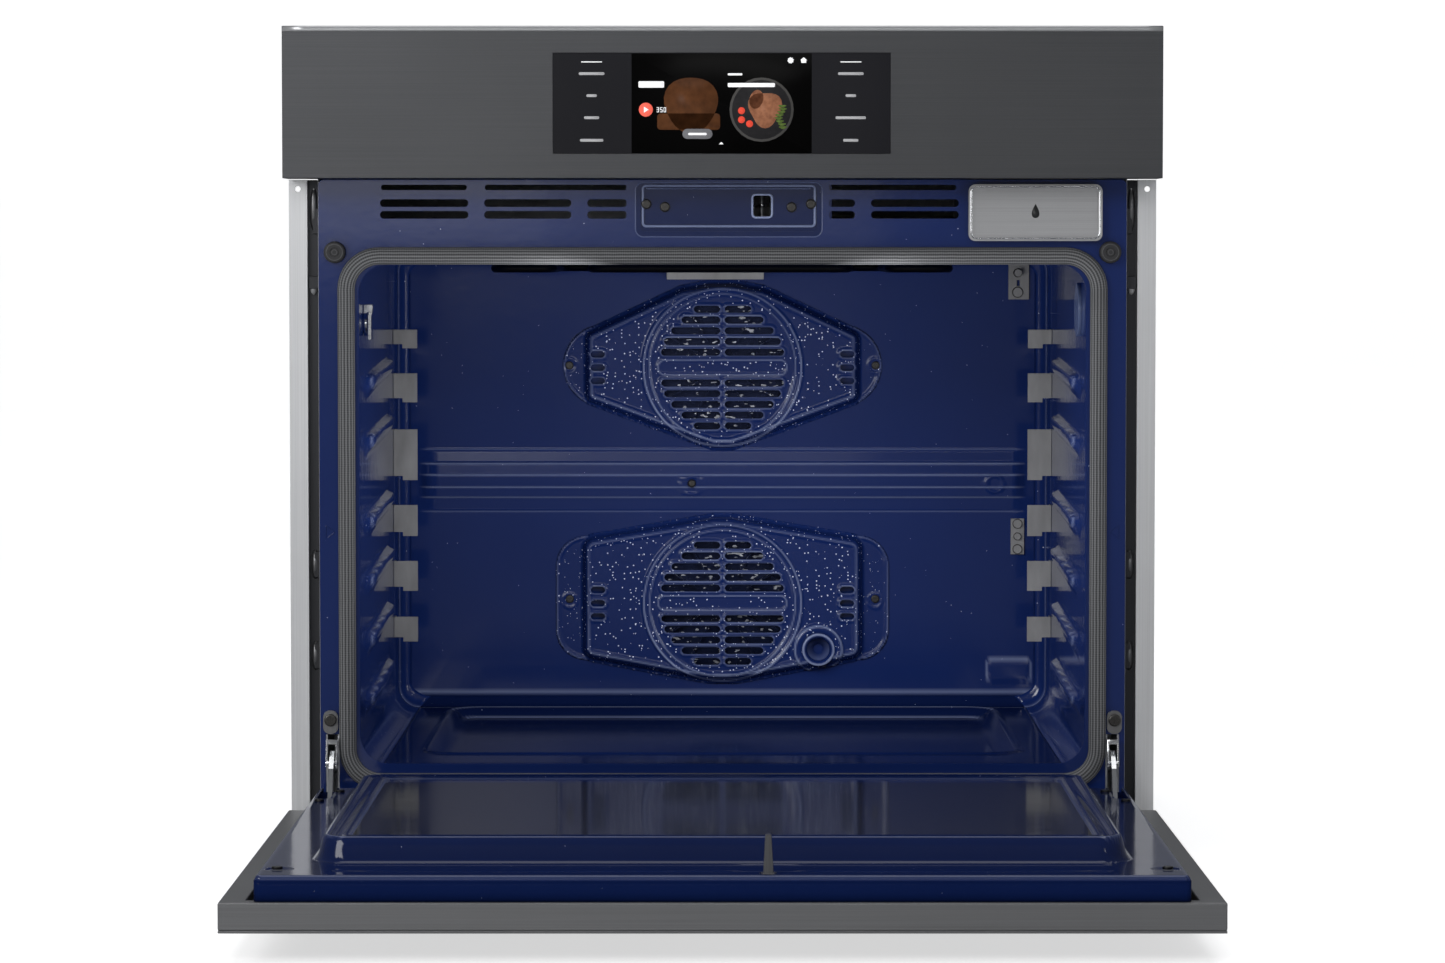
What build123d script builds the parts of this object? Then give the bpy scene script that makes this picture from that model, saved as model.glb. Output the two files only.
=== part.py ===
from build123d import *
import os

# Single built-in wall oven, door standing open at its stop.
# Frame: origin on the underside, midway between the sides, in the plane of the cabinet's face.
# +X to the right seen from the room, +Y into the cabinet, +Z up. Millimetres.

# ---- driving dimensions ----------------------------------------------------------------------------
PANEL_HALF = 377.8          # control panel and door, half width
PANEL_FRONT = -62.0         # control panel face, ahead of the cabinet's face
PANEL_LOW, PANEL_HIGH = 596.5, 727.0
BODY_HALF = 352.0           # casing, half width
BODY_REAR = 590.0
BODY_TOP = 722.0
DECK = 601.2                # shelf that carries the blower and the power board
SHEET = 1.5                 # enamelled sheet
STEEL = 1.2                 # galvanised sheet
FRAME_FRONT = -10.0         # blue front frame face
FRAME_BACK = FRAME_FRONT + SHEET
FRAME_LOW, FRAME_HIGH = 20.0, 596.0
CAVITY_HALF = 317.0
CAVITY_FLOOR, CAVITY_CEILING = 86.0, 533.0
CAVITY_BACK = 498.0
POCKET_DEPTH = 36.0         # round pockets behind the fan covers
POCKET_R = 98.0
POCKET_MOUTH = 76.0         # hole in the back wall, smaller than the pocket behind it
HEATER_R = 84.0
FAN_Z = {"upper": 419.6, "lower": 188.5}
FAN_R = 68.0
COVER_RISE = 14.0           # fan covers stand this far off the back wall
EAR_X = 150.0               # screws through the fan covers' ears
EAR_UP = {"upper": 1.8, "lower": 3.5}
RAIL_RISE = 6.0             # divider rail pressed into the back wall
RAIL_Z = [281.0, 338.5]
LAMP_Y, LAMP_Z = 70.0, 482.0
BASIN_DEPTH = 8.0           # sunken pan in the cavity floor
NOZZLE_X, NOZZLE_Z = 94.0, 143.0
PIVOT_Y, PIVOT_Z = -48.0, 39.0
DOOR_NEAR = 15.5            # hinge end of the door, from the pivot along the open door
DOOR_LONG = 570.0
DOOR_UNDER = -14.0          # outer face, from the pivot
DOOR_EDGE = 9.2             # door frame's inner plane
LINER_TOP = 29.0            # liner's flat
RIM_TOP = 48.4              # raised rim around the inner glass
LINER_HALF = 351.5
RIM_HALF = 306.5
RIM_NEAR, RIM_FAR = 51.5, 472.0
HINGE_X = 341.0
HINGE_SLOT = 6.4            # half width of the slots in the liner that clear the hinges
DOOR_SCREWS = [(337.0, 512.0), (330.0, 20.0), (342.0, 86.0)]
STRIKE_X = 34.5
STRIKE_OUT = 535.0          # strike blade, from the pivot along the open door
RIB_TOP = [431.0, 378.0, 306.0, 253.0, 200.0, 147.0]    # rack ledges at their rear ends
RIB_Y = [45.0, 340.0]
RIB_CREST = 307.5
RIB_HIGH = 16.0
RIB_FALL = 10.0             # the ledges drop this much towards the room
TAB_Y = 413.0               # anti-tip tabs behind the ledges
TAB_X = [293.8, 316.8]
TAB_Z = [(440.0, 458.0), (388.0, 416.0), (313.0, 362.0), (259.0, 289.0), (206.0, 235.0), (157.0, 181.0)]
TAB_NOTCH = [8.7, 4.0]      # cut out of each tab's lower outer corner
TAB_FLANGE = 16.0
WINDOW_HALF = 277.0         # opening in the liner, over the inner glass
WINDOW_NEAR, WINDOW_FAR = 111.0, 444.0
GLASS_X = [-145.3, 144.0]   # touch display
GLASS_Z = [617.8, 703.6]
LATCH_X = [-84.0, 95.0]     # recessed latch plate
LATCH_RIM_X = [-76.0, 87.0]
LATCH_RIM_Z = [546.0, 593.8]
LATCH_RIM_WIDE = 5.0
SEAL_HALF, SEAL_LOW, SEAL_HIGH = 335.2, 62.7, 537.4
SEAL_FRONT = -18.5
SEAL_WIDE = 15.2
BUMPER_X, BUMPER_Z, BUMPER_R = 337.0, 533.0, 9.5
BROIL_Z = 518.0
BROIL_R = 4.0
PROBE_Y, PROBE_Z = 50.0, 470.0
CAP_PIVOT = [-311.0, 484.0] # probe cap's pin, X and Z
BLOWER_X, BLOWER_Y = 60.0, 430.0
BLOWER_R = 78.0
HOUSING_HIGH = 35.0         # half height of the blower housing
TRIM_INNER = 361.7
SCREW_R = 4.35
SCREW_HOLE_R = 2.5
CABINET_SCREW_X = 370.0
CABINET_SCREW_Z = [36.0, 588.0]
CONDUIT_R = 11.1
RESERVOIR_X = [213.7, 329.8]
RESERVOIR_Z = [542.8, 591.9]
HOOK_Y, HOOK_R = 30.0, 28.0


# ---- helpers -----------------------------------------------------------------------------------------
def block(x0, x1, y0, y1, z0, z1):
    """Box between two opposite corners."""
    return Pos((x0 + x1) / 2, (y0 + y1) / 2, (z0 + z1) / 2) * Box(x1 - x0, y1 - y0, z1 - z0)


def rod(axis, centre, r, length):
    """Cylinder along X, Y or Z, with centre at its middle."""
    turn = {"X": Rot(0, 90, 0), "Y": Rot(90, 0, 0), "Z": Rot(0, 0, 0)}[axis]
    return Pos(*centre) * turn * Cylinder(r, length)


def tube(axis, centre, r_out, r_in, length):
    """Hollow cylinder."""
    return rod(axis, centre, r_out, length) - rod(axis, centre, r_in, length + 1)


def facing(y):
    """Plane whose drawing runs along X and Z and whose extrusion runs towards the room from y."""
    return Plane(origin=(0, y, 0), x_dir=(1, 0, 0), z_dir=(0, -1, 0))


def rounded(y0, y1, x0, x1, z0, z1, r):
    """Plate between y0 and y1 with rounded corners seen from the room."""
    outline = Pos((x0 + x1) / 2, (z0 + z1) / 2) * RectangleRounded(x1 - x0, z1 - z0, r)
    return extrude(facing(y1) * outline, y1 - y0)


def outline_plate(y0, y1, points):
    """Plate between y0 and y1 whose outline is given by X and Z points."""
    return extrude(facing(y1) * make_face(Polyline(*points, close=True)), y1 - y0)


def side_plate(x0, x1, points):
    """Plate between x0 and x1 whose outline is given by Y and Z points."""
    return extrude(Plane.YZ.offset(x0) * make_face(Polyline(*points, close=True)), x1 - x0)


def door_slab(x0, x1, d0, d1, h0, h1):
    """Box on the open door: d runs from the pivot towards the free edge, h up from the pivot."""
    return block(x0, x1, PIVOT_Y - d1, PIVOT_Y - d0, PIVOT_Z + h0, PIVOT_Z + h1)


def both_sides(shape):
    """The shape and its mirror image across the oven's middle plane."""
    return [shape, mirror(shape, about=Plane.YZ)]


def save(name, *solids):
    """Write one node."""
    found = []
    for shape in solids:
        found.extend(shape.solids())
    export_step(found[0] if len(found) == 1 else Compound(children=found), f"parts/{name}.step")


# ---- casing ------------------------------------------------------------------------------------------
def casing():
    """Base pan, wrap-round outer casing, rear cover with its cable hole, insulation and junction box."""
    pan = block(-BODY_HALF, BODY_HALF, FRAME_BACK, BODY_REAR - STEEL, 0, 18)
    pan -= block(-BODY_HALF + STEEL, BODY_HALF - STEEL, FRAME_BACK + STEEL, BODY_REAR - 2 * STEEL, STEEL, 19)
    save("base_pan", pan)

    wrap = block(-BODY_HALF, BODY_HALF, FRAME_BACK, BODY_REAR - STEEL, 18, BODY_TOP)
    wrap -= block(-BODY_HALF + STEEL, BODY_HALF - STEEL, FRAME_BACK - 1, BODY_REAR, 17, BODY_TOP - STEEL)
    wrap += block(-BODY_HALF, BODY_HALF, FRAME_BACK, FRAME_BACK + STEEL, FRAME_HIGH + 3, BODY_TOP)
    wrap += block(-BODY_HALF, 200, 110, BODY_REAR - STEEL, DECK - STEEL, DECK)
    save("outer_casing", wrap)

    rear = block(-BODY_HALF, BODY_HALF, BODY_REAR - STEEL, BODY_REAR, 0, BODY_TOP)
    rear -= rod("Y", (-250, BODY_REAR, 665), CONDUIT_R, 10)
    for row in range(7):
        z = 625 + 12 * row
        rear -= rounded(BODY_REAR - 3, BODY_REAR + 3, -60, 60, z, z + 5, 2.4)
        rear -= rounded(BODY_REAR - 3, BODY_REAR + 3, 120, 240, z, z + 5, 2.4)
    for z in FAN_Z.values():
        for x in (-110, 110):
            for row in range(4):
                low = z - 26 + 14 * row
                rear -= rounded(BODY_REAR - 3, BODY_REAR + 3, x - 45, x + 45, low, low + 5, 2.4)
    save("rear_cover", rear)

    gap = 3
    blanket = block(-345, 345, 2, 560, 40, 562)
    blanket -= block(-CAVITY_HALF - gap, CAVITY_HALF + gap, -5, CAVITY_BACK + 40, 60, CAVITY_CEILING + gap)
    for z in FAN_Z.values():
        blanket -= rod("Y", (0, 550, z), 58, 60)
    blanket -= block(-56, 106, 0, 80, 540, 600)
    blanket -= block(205, 338, 0, 480, 530, 600)
    blanket -= block(-350, -300, 0, 90, 440, 505)
    blanket -= block(300, 350, 0, 140, 440, 512)
    blanket -= block(310, 350, 0, 100, 20, 150)
    blanket -= block(-350, -310, 0, 100, 20, 150)
    blanket -= rod("Y", (NOZZLE_X, 550, NOZZLE_Z), 16, 60)
    save("insulation", blanket)

    shell = block(-300, -200, 540, BODY_REAR - STEEL, 640, 700)
    shell -= block(-300 + STEEL, -200 - STEEL, 540 + STEEL, BODY_REAR, 640 + STEEL, 700 - STEEL)
    save("junction_box", shell)


# ---- front frame ---------------------------------------------------------------------------------------
def vent_slots(y0, y1):
    """Three rows of cooling-air slots left and right of the latch plate."""
    top = [(-296.9, -222.3), (-206.6, -83.3), (92.5, 203.3)]
    lower = [(-297.8, -221.1), (-207.2, -131.5), (-117.5, -83.1), (92.5, 115.1), (129.2, 205.4)]
    slots = [rounded(y0, y1, a, b, 587.0, 591.6, 2.2) for a, b in top]
    for z in (565.5, 575.7):
        slots += [rounded(y0, y1, a, b, z - 3.3, z + 3.3, 3.2) for a, b in lower]
    return slots


def front():
    """Enamelled front frame, gasket, bumpers, side trims and channels."""
    frame = rounded(FRAME_FRONT, FRAME_BACK, -LINER_HALF, LINER_HALF, FRAME_LOW, FRAME_HIGH, 5)
    frame -= rounded(FRAME_FRONT - 1, FRAME_BACK + 1, -CAVITY_HALF, CAVITY_HALF, CAVITY_FLOOR,
                     CAVITY_CEILING - 10, 26)
    frame -= Compound(children=vent_slots(FRAME_FRONT - 1, FRAME_BACK + 1))
    frame -= rounded(FRAME_FRONT - 1, FRAME_BACK + 1, *LATCH_RIM_X, LATCH_RIM_Z[0] - 0.2,
                     LATCH_RIM_Z[1] + 0.2, 7)
    frame -= rounded(FRAME_FRONT - 1, FRAME_BACK + 1, RESERVOIR_X[0] + 4.6, RESERVOIR_X[1] - 4.6,
                     RESERVOIR_Z[0] + 4.6, RESERVOIR_Z[1] - 4.6, 4.2)
    for side in (-1, 1):
        middle = side * HINGE_X
        frame -= block(middle - 6, middle + 6, FRAME_FRONT - 1, FRAME_BACK + 1, 50, 112)
    save("front_frame", frame)

    seal = rounded(SEAL_FRONT, FRAME_FRONT, -SEAL_HALF, SEAL_HALF, SEAL_LOW, SEAL_HIGH, 36)
    inner = SEAL_HALF - SEAL_WIDE
    seal -= rounded(SEAL_FRONT - 1, FRAME_FRONT + 1, -inner, inner, SEAL_LOW + SEAL_WIDE,
                    SEAL_HIGH - SEAL_WIDE, 24)
    seal = fillet(seal.edges().filter_by(lambda e: abs(e.center().Y - SEAL_FRONT) < 0.01), 3.5)
    save("gasket", seal)

    bumper = rod("Y", (BUMPER_X, -14.3, BUMPER_Z), BUMPER_R, 8.6)
    bumper = fillet(bumper.faces().sort_by(Axis.Y)[0].edges(), 2.5)
    bumper -= tube("Y", (BUMPER_X, -18.6, BUMPER_Z), 4.2, 3.2, 1.6)
    save("door_bumpers", *both_sides(bumper))

    trim = block(TRIM_INNER, PANEL_HALF, -3, 0, 25, FRAME_HIGH)
    for z in CABINET_SCREW_Z:
        trim -= rod("Y", (CABINET_SCREW_X, 0, z), SCREW_HOLE_R, 20)
    trim += block(TRIM_INNER, TRIM_INNER + SHEET, 0, 22, 25, FRAME_HIGH)
    save("side_trims", *both_sides(trim))

    channel = block(BODY_HALF, TRIM_INNER, 4, 5.5, 25, FRAME_HIGH)
    channel += block(BODY_HALF, BODY_HALF + STEEL, 5.5, 40, 25, FRAME_HIGH)
    for z in (180.0, 260.0, 560.0):
        channel += block(BODY_HALF, 357, -1, 4, z - 11, z + 11)
    channel += block(BODY_HALF, 360.5, -3, 4, 501, 512)
    save("side_channels", *both_sides(channel))

    screws = []
    for x, z in ((-66.2, 574.8), (-50, 572.3), (60, 572.1), (77, 574.9)):
        screws.append(screw_at(x, -8.5, z, SCREW_R, 3))
    for side in (-1, 1):
        screws.append(screw_at(side * 342.5, -13.0, 124.7, 5.4, 3))
    for name, z in FAN_Z.items():
        for side in (-1, 1):
            screws.append(screw_at(side * EAR_X, CAVITY_BACK - SHEET, z + EAR_UP[name], 4, 2.5))
    screws.append(screw_at(-30, CAVITY_BACK - RAIL_RISE, 306, 4, 7))
    save("body_screws", *screws)


def screw_at(x, y, z, r, head):
    """Round-headed screw driven along +Y, its head's underside at y."""
    cap = rod("Y", (x, y - head / 2, z), r, head)
    cap = fillet(cap.faces().sort_by(Axis.Y)[0].edges(), min(r, head) * 0.45)
    cap -= block(x - r * 0.6, x + r * 0.6, y - head - 1, y - head + 0.8, z - 0.5, z + 0.5)
    return cap - block(x - 0.5, x + 0.5, y - head - 1, y - head + 0.8, z - r * 0.6, z + r * 0.6)


# ---- cavity --------------------------------------------------------------------------------------------
def cavity():
    """Enamelled cavity: two ribbed sides, ceiling, floor with a sunken pan, back with rail and pockets."""
    side = block(CAVITY_HALF, CAVITY_HALF + SHEET, FRAME_BACK, CAVITY_BACK, CAVITY_FLOOR, CAVITY_CEILING)
    for top in RIB_TOP:
        side = side + rack_rib(top, 0) - rack_rib(top, SHEET)
    right = side - rod("X", (CAVITY_HALF, LAMP_Y, LAMP_Z), 21, 12)
    left = mirror(side, about=Plane.YZ) - rod("X", (-CAVITY_HALF, PROBE_Y, PROBE_Z), 9, 12)
    save("cavity_sides", left, right)

    outer = CAVITY_HALF + SHEET
    ceiling = block(-outer, outer, FRAME_BACK, CAVITY_BACK, CAVITY_CEILING, CAVITY_CEILING + SHEET)
    ceiling += block(-CAVITY_HALF, CAVITY_HALF, FRAME_BACK, FRAME_BACK + SHEET, CAVITY_CEILING - 10,
                     CAVITY_CEILING)
    save("cavity_ceiling", ceiling)

    floor = block(-outer, outer, FRAME_BACK, CAVITY_BACK, CAVITY_FLOOR - SHEET, CAVITY_FLOOR)
    basin = pan_shape(262, 72, 473, CAVITY_FLOOR - SHEET, BASIN_DEPTH)
    hollow = pan_shape(262 - SHEET, 72 + SHEET, 473 - SHEET, CAVITY_FLOOR, BASIN_DEPTH)
    save("cavity_floor", floor + basin - hollow)

    back = block(-outer, outer, CAVITY_BACK, CAVITY_BACK + SHEET, CAVITY_FLOOR - SHEET,
                 CAVITY_CEILING + SHEET)
    for z in FAN_Z.values():
        back -= rod("Y", (0, CAVITY_BACK, z), POCKET_MOUTH, 10)
        depth = POCKET_DEPTH - SHEET
        back += tube("Y", (0, CAVITY_BACK + SHEET + depth / 2, z), POCKET_R + SHEET, POCKET_R, depth)
        back += tube("Y", (0, CAVITY_BACK + POCKET_DEPTH - SHEET / 2, z), POCKET_R + SHEET, 6, SHEET)
        for up in (HEATER_R - 3, HEATER_R + 3):
            back -= rod("Y", (0, CAVITY_BACK + POCKET_DEPTH, z + up), 3.3, 10)
    back -= rod("Y", (NOZZLE_X, CAVITY_BACK, NOZZLE_Z), 4.5, 12)
    low, high = RAIL_Z
    crest = CAVITY_BACK - RAIL_RISE
    lip = [(CAVITY_BACK + 0.5, high), (crest, high - 8), (crest, low + 8), (CAVITY_BACK + 0.5, low)]
    inner = [(CAVITY_BACK + 2, high - 1.5), (crest + SHEET, high - 9.5), (crest + SHEET, low + 9.5),
             (CAVITY_BACK + 2, low + 1.5)]
    back = back + side_plate(-298, 298, lip) - side_plate(-296, 296, inner)
    save("cavity_back", back)

    tabs = []
    inner, wall = TAB_X
    for low, high in TAB_Z:
        tab = block(inner, wall, TAB_Y, TAB_Y + STEEL, low, high)
        tab -= block(wall - TAB_NOTCH[0], wall + 1, TAB_Y - 1, TAB_Y + 2, low - 1, low + TAB_NOTCH[1])
        tab += block(wall - STEEL, wall, TAB_Y, TAB_Y + TAB_FLANGE, low + TAB_NOTCH[1], high)
        tabs += both_sides(tab)
    save("rack_tabs", *tabs)


def rack_rib(top, inset):
    """Pressed rack ledge on the right wall, falling towards the room; inset gives its hollow back."""
    sections = []
    for y, fall in ((RIB_Y[0] + inset, RIB_FALL), (RIB_Y[1] - inset, 0)):
        z = top - fall - inset
        foot = CAVITY_HALF + 0.5 + inset
        low = z - RIB_HIGH + 2 * inset
        sections.append(facing(y) * make_face(Polyline(
            (foot, z + 3), (RIB_CREST + inset, z), (RIB_CREST + inset, low), (foot, low - 8), close=True)))
    return loft(sections)


def pan_shape(half, y0, y1, top, depth):
    """Sunken pan with sloping walls, as a solid from its brim down."""
    brim = Plane.XY.offset(top) * Pos(0, (y0 + y1) / 2) * RectangleRounded(2 * half, y1 - y0, 20)
    foot = Plane.XY.offset(top - depth) * Pos(0, (y0 + y1) / 2) * RectangleRounded(
        2 * half - 30, y1 - y0 - 30, 14)
    return loft([brim.face(), foot.face()])


# ---- fans and heaters ----------------------------------------------------------------------------------
def cover_outline(name):
    """Outline of a fan cover about its fan's centre, with rounded corners."""
    if name == "upper":
        right = [(50, 80), (125, 38), (139, 24), (139, -24), (125, -38), (50, -80)]
    else:
        right = [(56, 83), (128, 60), (145, 42), (145, -42), (128, -60), (56, -83)]
    drawn = make_face(Polyline(*right, *[(-x, -z) for x, z in right], close=True))
    return fillet(drawn.vertices(), 12)


def fan_slots(y0, y1, z):
    """Five rows of paired slots above the fan's middle and five below, and three small ones each side."""
    slots = []
    for row, reach in enumerate((60, 57, 50, 40, 28)):
        for up in (-1, 1):
            middle = z + up * (15 + 10.5 * row)
            for side in (-1, 1):
                ends = sorted((side * 2.2, side * reach))
                slots.append(rounded(y0, y1, *ends, middle - 3.3, middle + 3.3, 3.2))
    for row in (-1, 0, 1):
        for side in (-1, 1):
            ends = sorted((side * 116, side * 128))
            slots.append(rounded(y0, y1, *ends, z + 13 * row - 3, z + 13 * row + 3, 2.9))
    return slots


def fan_cover(name):
    """Raised enamelled cover with sloping skirt, ears, a raised ring and its air slots."""
    z = FAN_Z[name]
    front_y = CAVITY_BACK - COVER_RISE
    drawn = cover_outline(name)
    wall = facing(CAVITY_BACK) * Pos(0, z)
    inside = extrude(wall * offset(drawn, amount=-SHEET * 1.1), COVER_RISE - SHEET, taper=20)
    cover = extrude(wall * drawn, COVER_RISE, taper=20)
    for side in (-1, 1):
        x = side * EAR_X
        ear = rod("Y", (x, CAVITY_BACK - SHEET / 2, z + EAR_UP[name]), 10, SHEET)
        cover += ear + block(*sorted((x, x - side * 14)), CAVITY_BACK - SHEET, CAVITY_BACK, z - 9, z + 12)
    cover -= inside
    cover -= Compound(children=fan_slots(front_y - 1, front_y + SHEET + 2, z))
    cover += tube("Y", (0, front_y - 1, z), 79, 75, 2)
    if name == "lower":
        cover -= rod("Y", (NOZZLE_X, front_y, NOZZLE_Z), 14.2, 40)
    return cover


def fan_wheel(z):
    """Fan with a hub, a disc and twelve blades; its shaft runs back to the motor."""
    y0 = CAVITY_BACK - 5
    wheel = rod("Y", (0, y0 + 22, z), FAN_R, 1.2)
    wheel += rod("Y", (0, y0 + 14, z), 11, 16)
    blade = block(28, FAN_R, -0.6, 0.6, 0, 20)
    for n in range(12):
        wheel += Pos(0, y0 + 22, z) * Rot(90, 0, 0) * Rot(0, 0, 30 * n) * blade
    wheel += rod("Y", (0, y0 + 38, z), 4, 32)
    wheel -= rod("Y", (0, y0 + 50, z), 2.5, 30)
    return wheel


def fan_motor(z):
    """Motor behind the pocket: can, stack and the thin shaft that the fan sits on."""
    motor = rod("Y", (0, 560, z), 40, 26)
    motor += block(-32, 32, 552, 568, z - 46, z + 46)
    motor -= rod("Y", (0, 545, z), 4.3, 12)
    return motor + rod("Y", (0, 541.5, z), 2.45, 23)


def convection():
    """Covers, fans, motors, ring heaters and steam nozzle."""
    for name in FAN_Z:
        save(f"{name}_fan_cover", fan_cover(name))
        save(f"{name}_fan", fan_wheel(FAN_Z[name]))
    save("fan_motors", *[fan_motor(z) for z in FAN_Z.values()])

    rings = []
    for z in FAN_Z.values():
        for y in (CAVITY_BACK + 10, CAVITY_BACK + 20):
            ring = Pos(0, y, z) * Rot(90, 0, 0) * Torus(HEATER_R, 3.2)
            lead_end = CAVITY_BACK + POCKET_DEPTH + 3
            up = HEATER_R + (3 if y > CAVITY_BACK + 15 else -3)
            lead = rod("Y", (0, (y + lead_end) / 2, z + up), 3.2, lead_end - y)
            rings.append(ring + lead)
    save("ring_heaters", *rings)

    nozzle = tube("Y", (NOZZLE_X, CAVITY_BACK - 9.25, NOZZLE_Z), 14, 9, 18.5)
    nozzle += tube("Y", (NOZZLE_X, CAVITY_BACK - 17, NOZZLE_Z), 22, 9, 3)
    nozzle += tube("Y", (NOZZLE_X, CAVITY_BACK - 1, NOZZLE_Z), 14, 3, 2)
    nozzle += tube("Y", (NOZZLE_X, CAVITY_BACK + 19, NOZZLE_Z), 4.4, 3, 42)
    save("steam_nozzle", nozzle)


def serpentine(points, radius, r):
    """Round bar bent along a flat path."""
    path = FilletPolyline(*points, radius=radius)
    start = Plane(origin=path @ 0, z_dir=path % 0)
    return sweep(start * Circle(r), path=path)


def heaters():
    """Broil element under the ceiling with its bracket, and bake element under the floor."""
    z = BROIL_Z
    element = serpentine([(-209, CAVITY_BACK, z), (-209, 210, z), (-156, 210, z), (-156, 420, z),
                          (-120, 420, z), (-120, 210, z), (116, 210, z), (116, 420, z), (153, 420, z),
                          (153, 210, z), (208, 210, z), (208, CAVITY_BACK, z)], 14, BROIL_R)
    save("broil_element", element)

    bracket = block(-54, 40, 440, CAVITY_BACK, 506, 507.5)
    bracket += block(-54, 40, 440, 441.5, 507.5, CAVITY_CEILING)
    save("broil_bracket", bracket)

    z = CAVITY_FLOOR - SHEET - BASIN_DEPTH - 4
    loops = serpentine([(-180, 520, z), (-180, 90, z), (-60, 90, z), (-60, 430, z), (60, 430, z),
                        (60, 90, z), (180, 90, z), (180, 520, z)], 30, BROIL_R)
    save("bake_element", loops)


# ---- cavity fittings -----------------------------------------------------------------------------------
def fittings():
    """Lamp, temperature sensors, probe jack with its cap."""
    lens = rod("X", (CAVITY_HALF - 1.5, LAMP_Y, LAMP_Z), 24, 3)
    save("lamp_lens", lens + rod("X", (CAVITY_HALF + 3, LAMP_Y, LAMP_Z), 20.8, 6))
    lamp = tube("X", (334, LAMP_Y, LAMP_Z), 24, 21.5, 20) + rod("X", (343, LAMP_Y, LAMP_Z), 24, 2)
    lamp += rod("X", (335, LAMP_Y, LAMP_Z), 7, 16)
    save("oven_lamp", lamp)

    upper = block(280, 300, CAVITY_BACK - 3, CAVITY_BACK, 486, 525)
    upper -= block(288, 291, CAVITY_BACK - 5, CAVITY_BACK + 1, 499, 505)
    upper += rod("Y", (289, CAVITY_BACK - 8, 512), 3.5, 11)
    upper += rod("Y", (289, CAVITY_BACK - 4, 493), 4.5, 3)
    lower = block(283, 296, CAVITY_BACK - 3, CAVITY_BACK, 236, 271)
    for z, r in ((241, 4), (253.5, 3.2), (266, 4)):
        lower += rod("Y", (289.5, CAVITY_BACK - 4.5, z), r, 4)
    save("temperature_sensors", upper, lower)

    wall, y = -CAVITY_HALF, PROBE_Y
    pin_x, pin_z = CAP_PIVOT
    jack = tube("X", (wall - 10, y, PROBE_Z), 8.5, 3.2, 26)
    jack += tube("X", (wall + 2, y, PROBE_Z), 11, 3.2, 3)
    jack += block(wall + 3.5, wall + 8, y - 6, y - 3, pin_z - 4, pin_z + 3)
    jack += block(wall + 3.5, wall + 8, y + 3, y + 6, pin_z - 4, pin_z + 3)
    jack += block(wall + 0.5, wall + 3.5, y - 6, y + 6, pin_z - 6, pin_z + 3)
    jack -= rod("X", (wall, y, PROBE_Z), 3.2, 60)
    pin = rod("Y", (pin_x, y, pin_z), 1.2, 12)
    save("probe_jack", jack + pin)
    flap = block(pin_x - 1.3, pin_x + 1.3, y - 10, y + 10, PROBE_Z - 14, PROBE_Z + 8)
    flap += block(pin_x - 1.6, pin_x + 1.6, y - 2.6, y + 2.6, PROBE_Z + 8, pin_z + 1.5)
    flap -= rod("Y", (pin_x, y, pin_z), 1.26, 20)
    save("probe_cap", flap)


# ---- control panel -------------------------------------------------------------------------------------
def controls():
    """Fascia, display glass, LCD module and the circuit boards."""
    fascia = block(-PANEL_HALF, PANEL_HALF, PANEL_FRONT, FRAME_BACK, PANEL_LOW, PANEL_HIGH)
    fascia -= block(-PANEL_HALF + 2, PANEL_HALF - 2, PANEL_FRONT + 2, 0, PANEL_LOW + 2, PANEL_HIGH - 2)
    fascia -= block(*GLASS_X, PANEL_FRONT - 1, PANEL_FRONT + 3, *GLASS_Z)
    save("control_panel", fascia)
    save("display_glass", block(*GLASS_X, PANEL_FRONT - 0.5, PANEL_FRONT + 3.5, *GLASS_Z))
    module = block(-92, 90, PANEL_FRONT + 3.5, PANEL_FRONT + 13, 616, 706)
    save("display_module", module)

    front_board = block(-150, 150, PANEL_FRONT + 13, PANEL_FRONT + 14.6, 608, 714)
    front_board += block(-60, -20, PANEL_FRONT + 14.6, PANEL_FRONT + 20, 630, 660)
    front_board += block(20, 80, PANEL_FRONT + 14.6, PANEL_FRONT + 23, 670, 690)
    board_z = DECK + 10
    power = block(-330, -120, 140, 350, board_z, board_z + 1.6)
    for x in (-322, -128):
        for y in (148, 342):
            power += rod("Z", (x, y, DECK + 5), 3, 10)
    for n in range(3):
        power += rod("Z", (-300 + 32 * n, 180, board_z + 14), 12, 27)
    power += block(-200, -150, 250, 310, board_z + 1.6, board_z + 36)
    save("control_boards", front_board, power)


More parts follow.
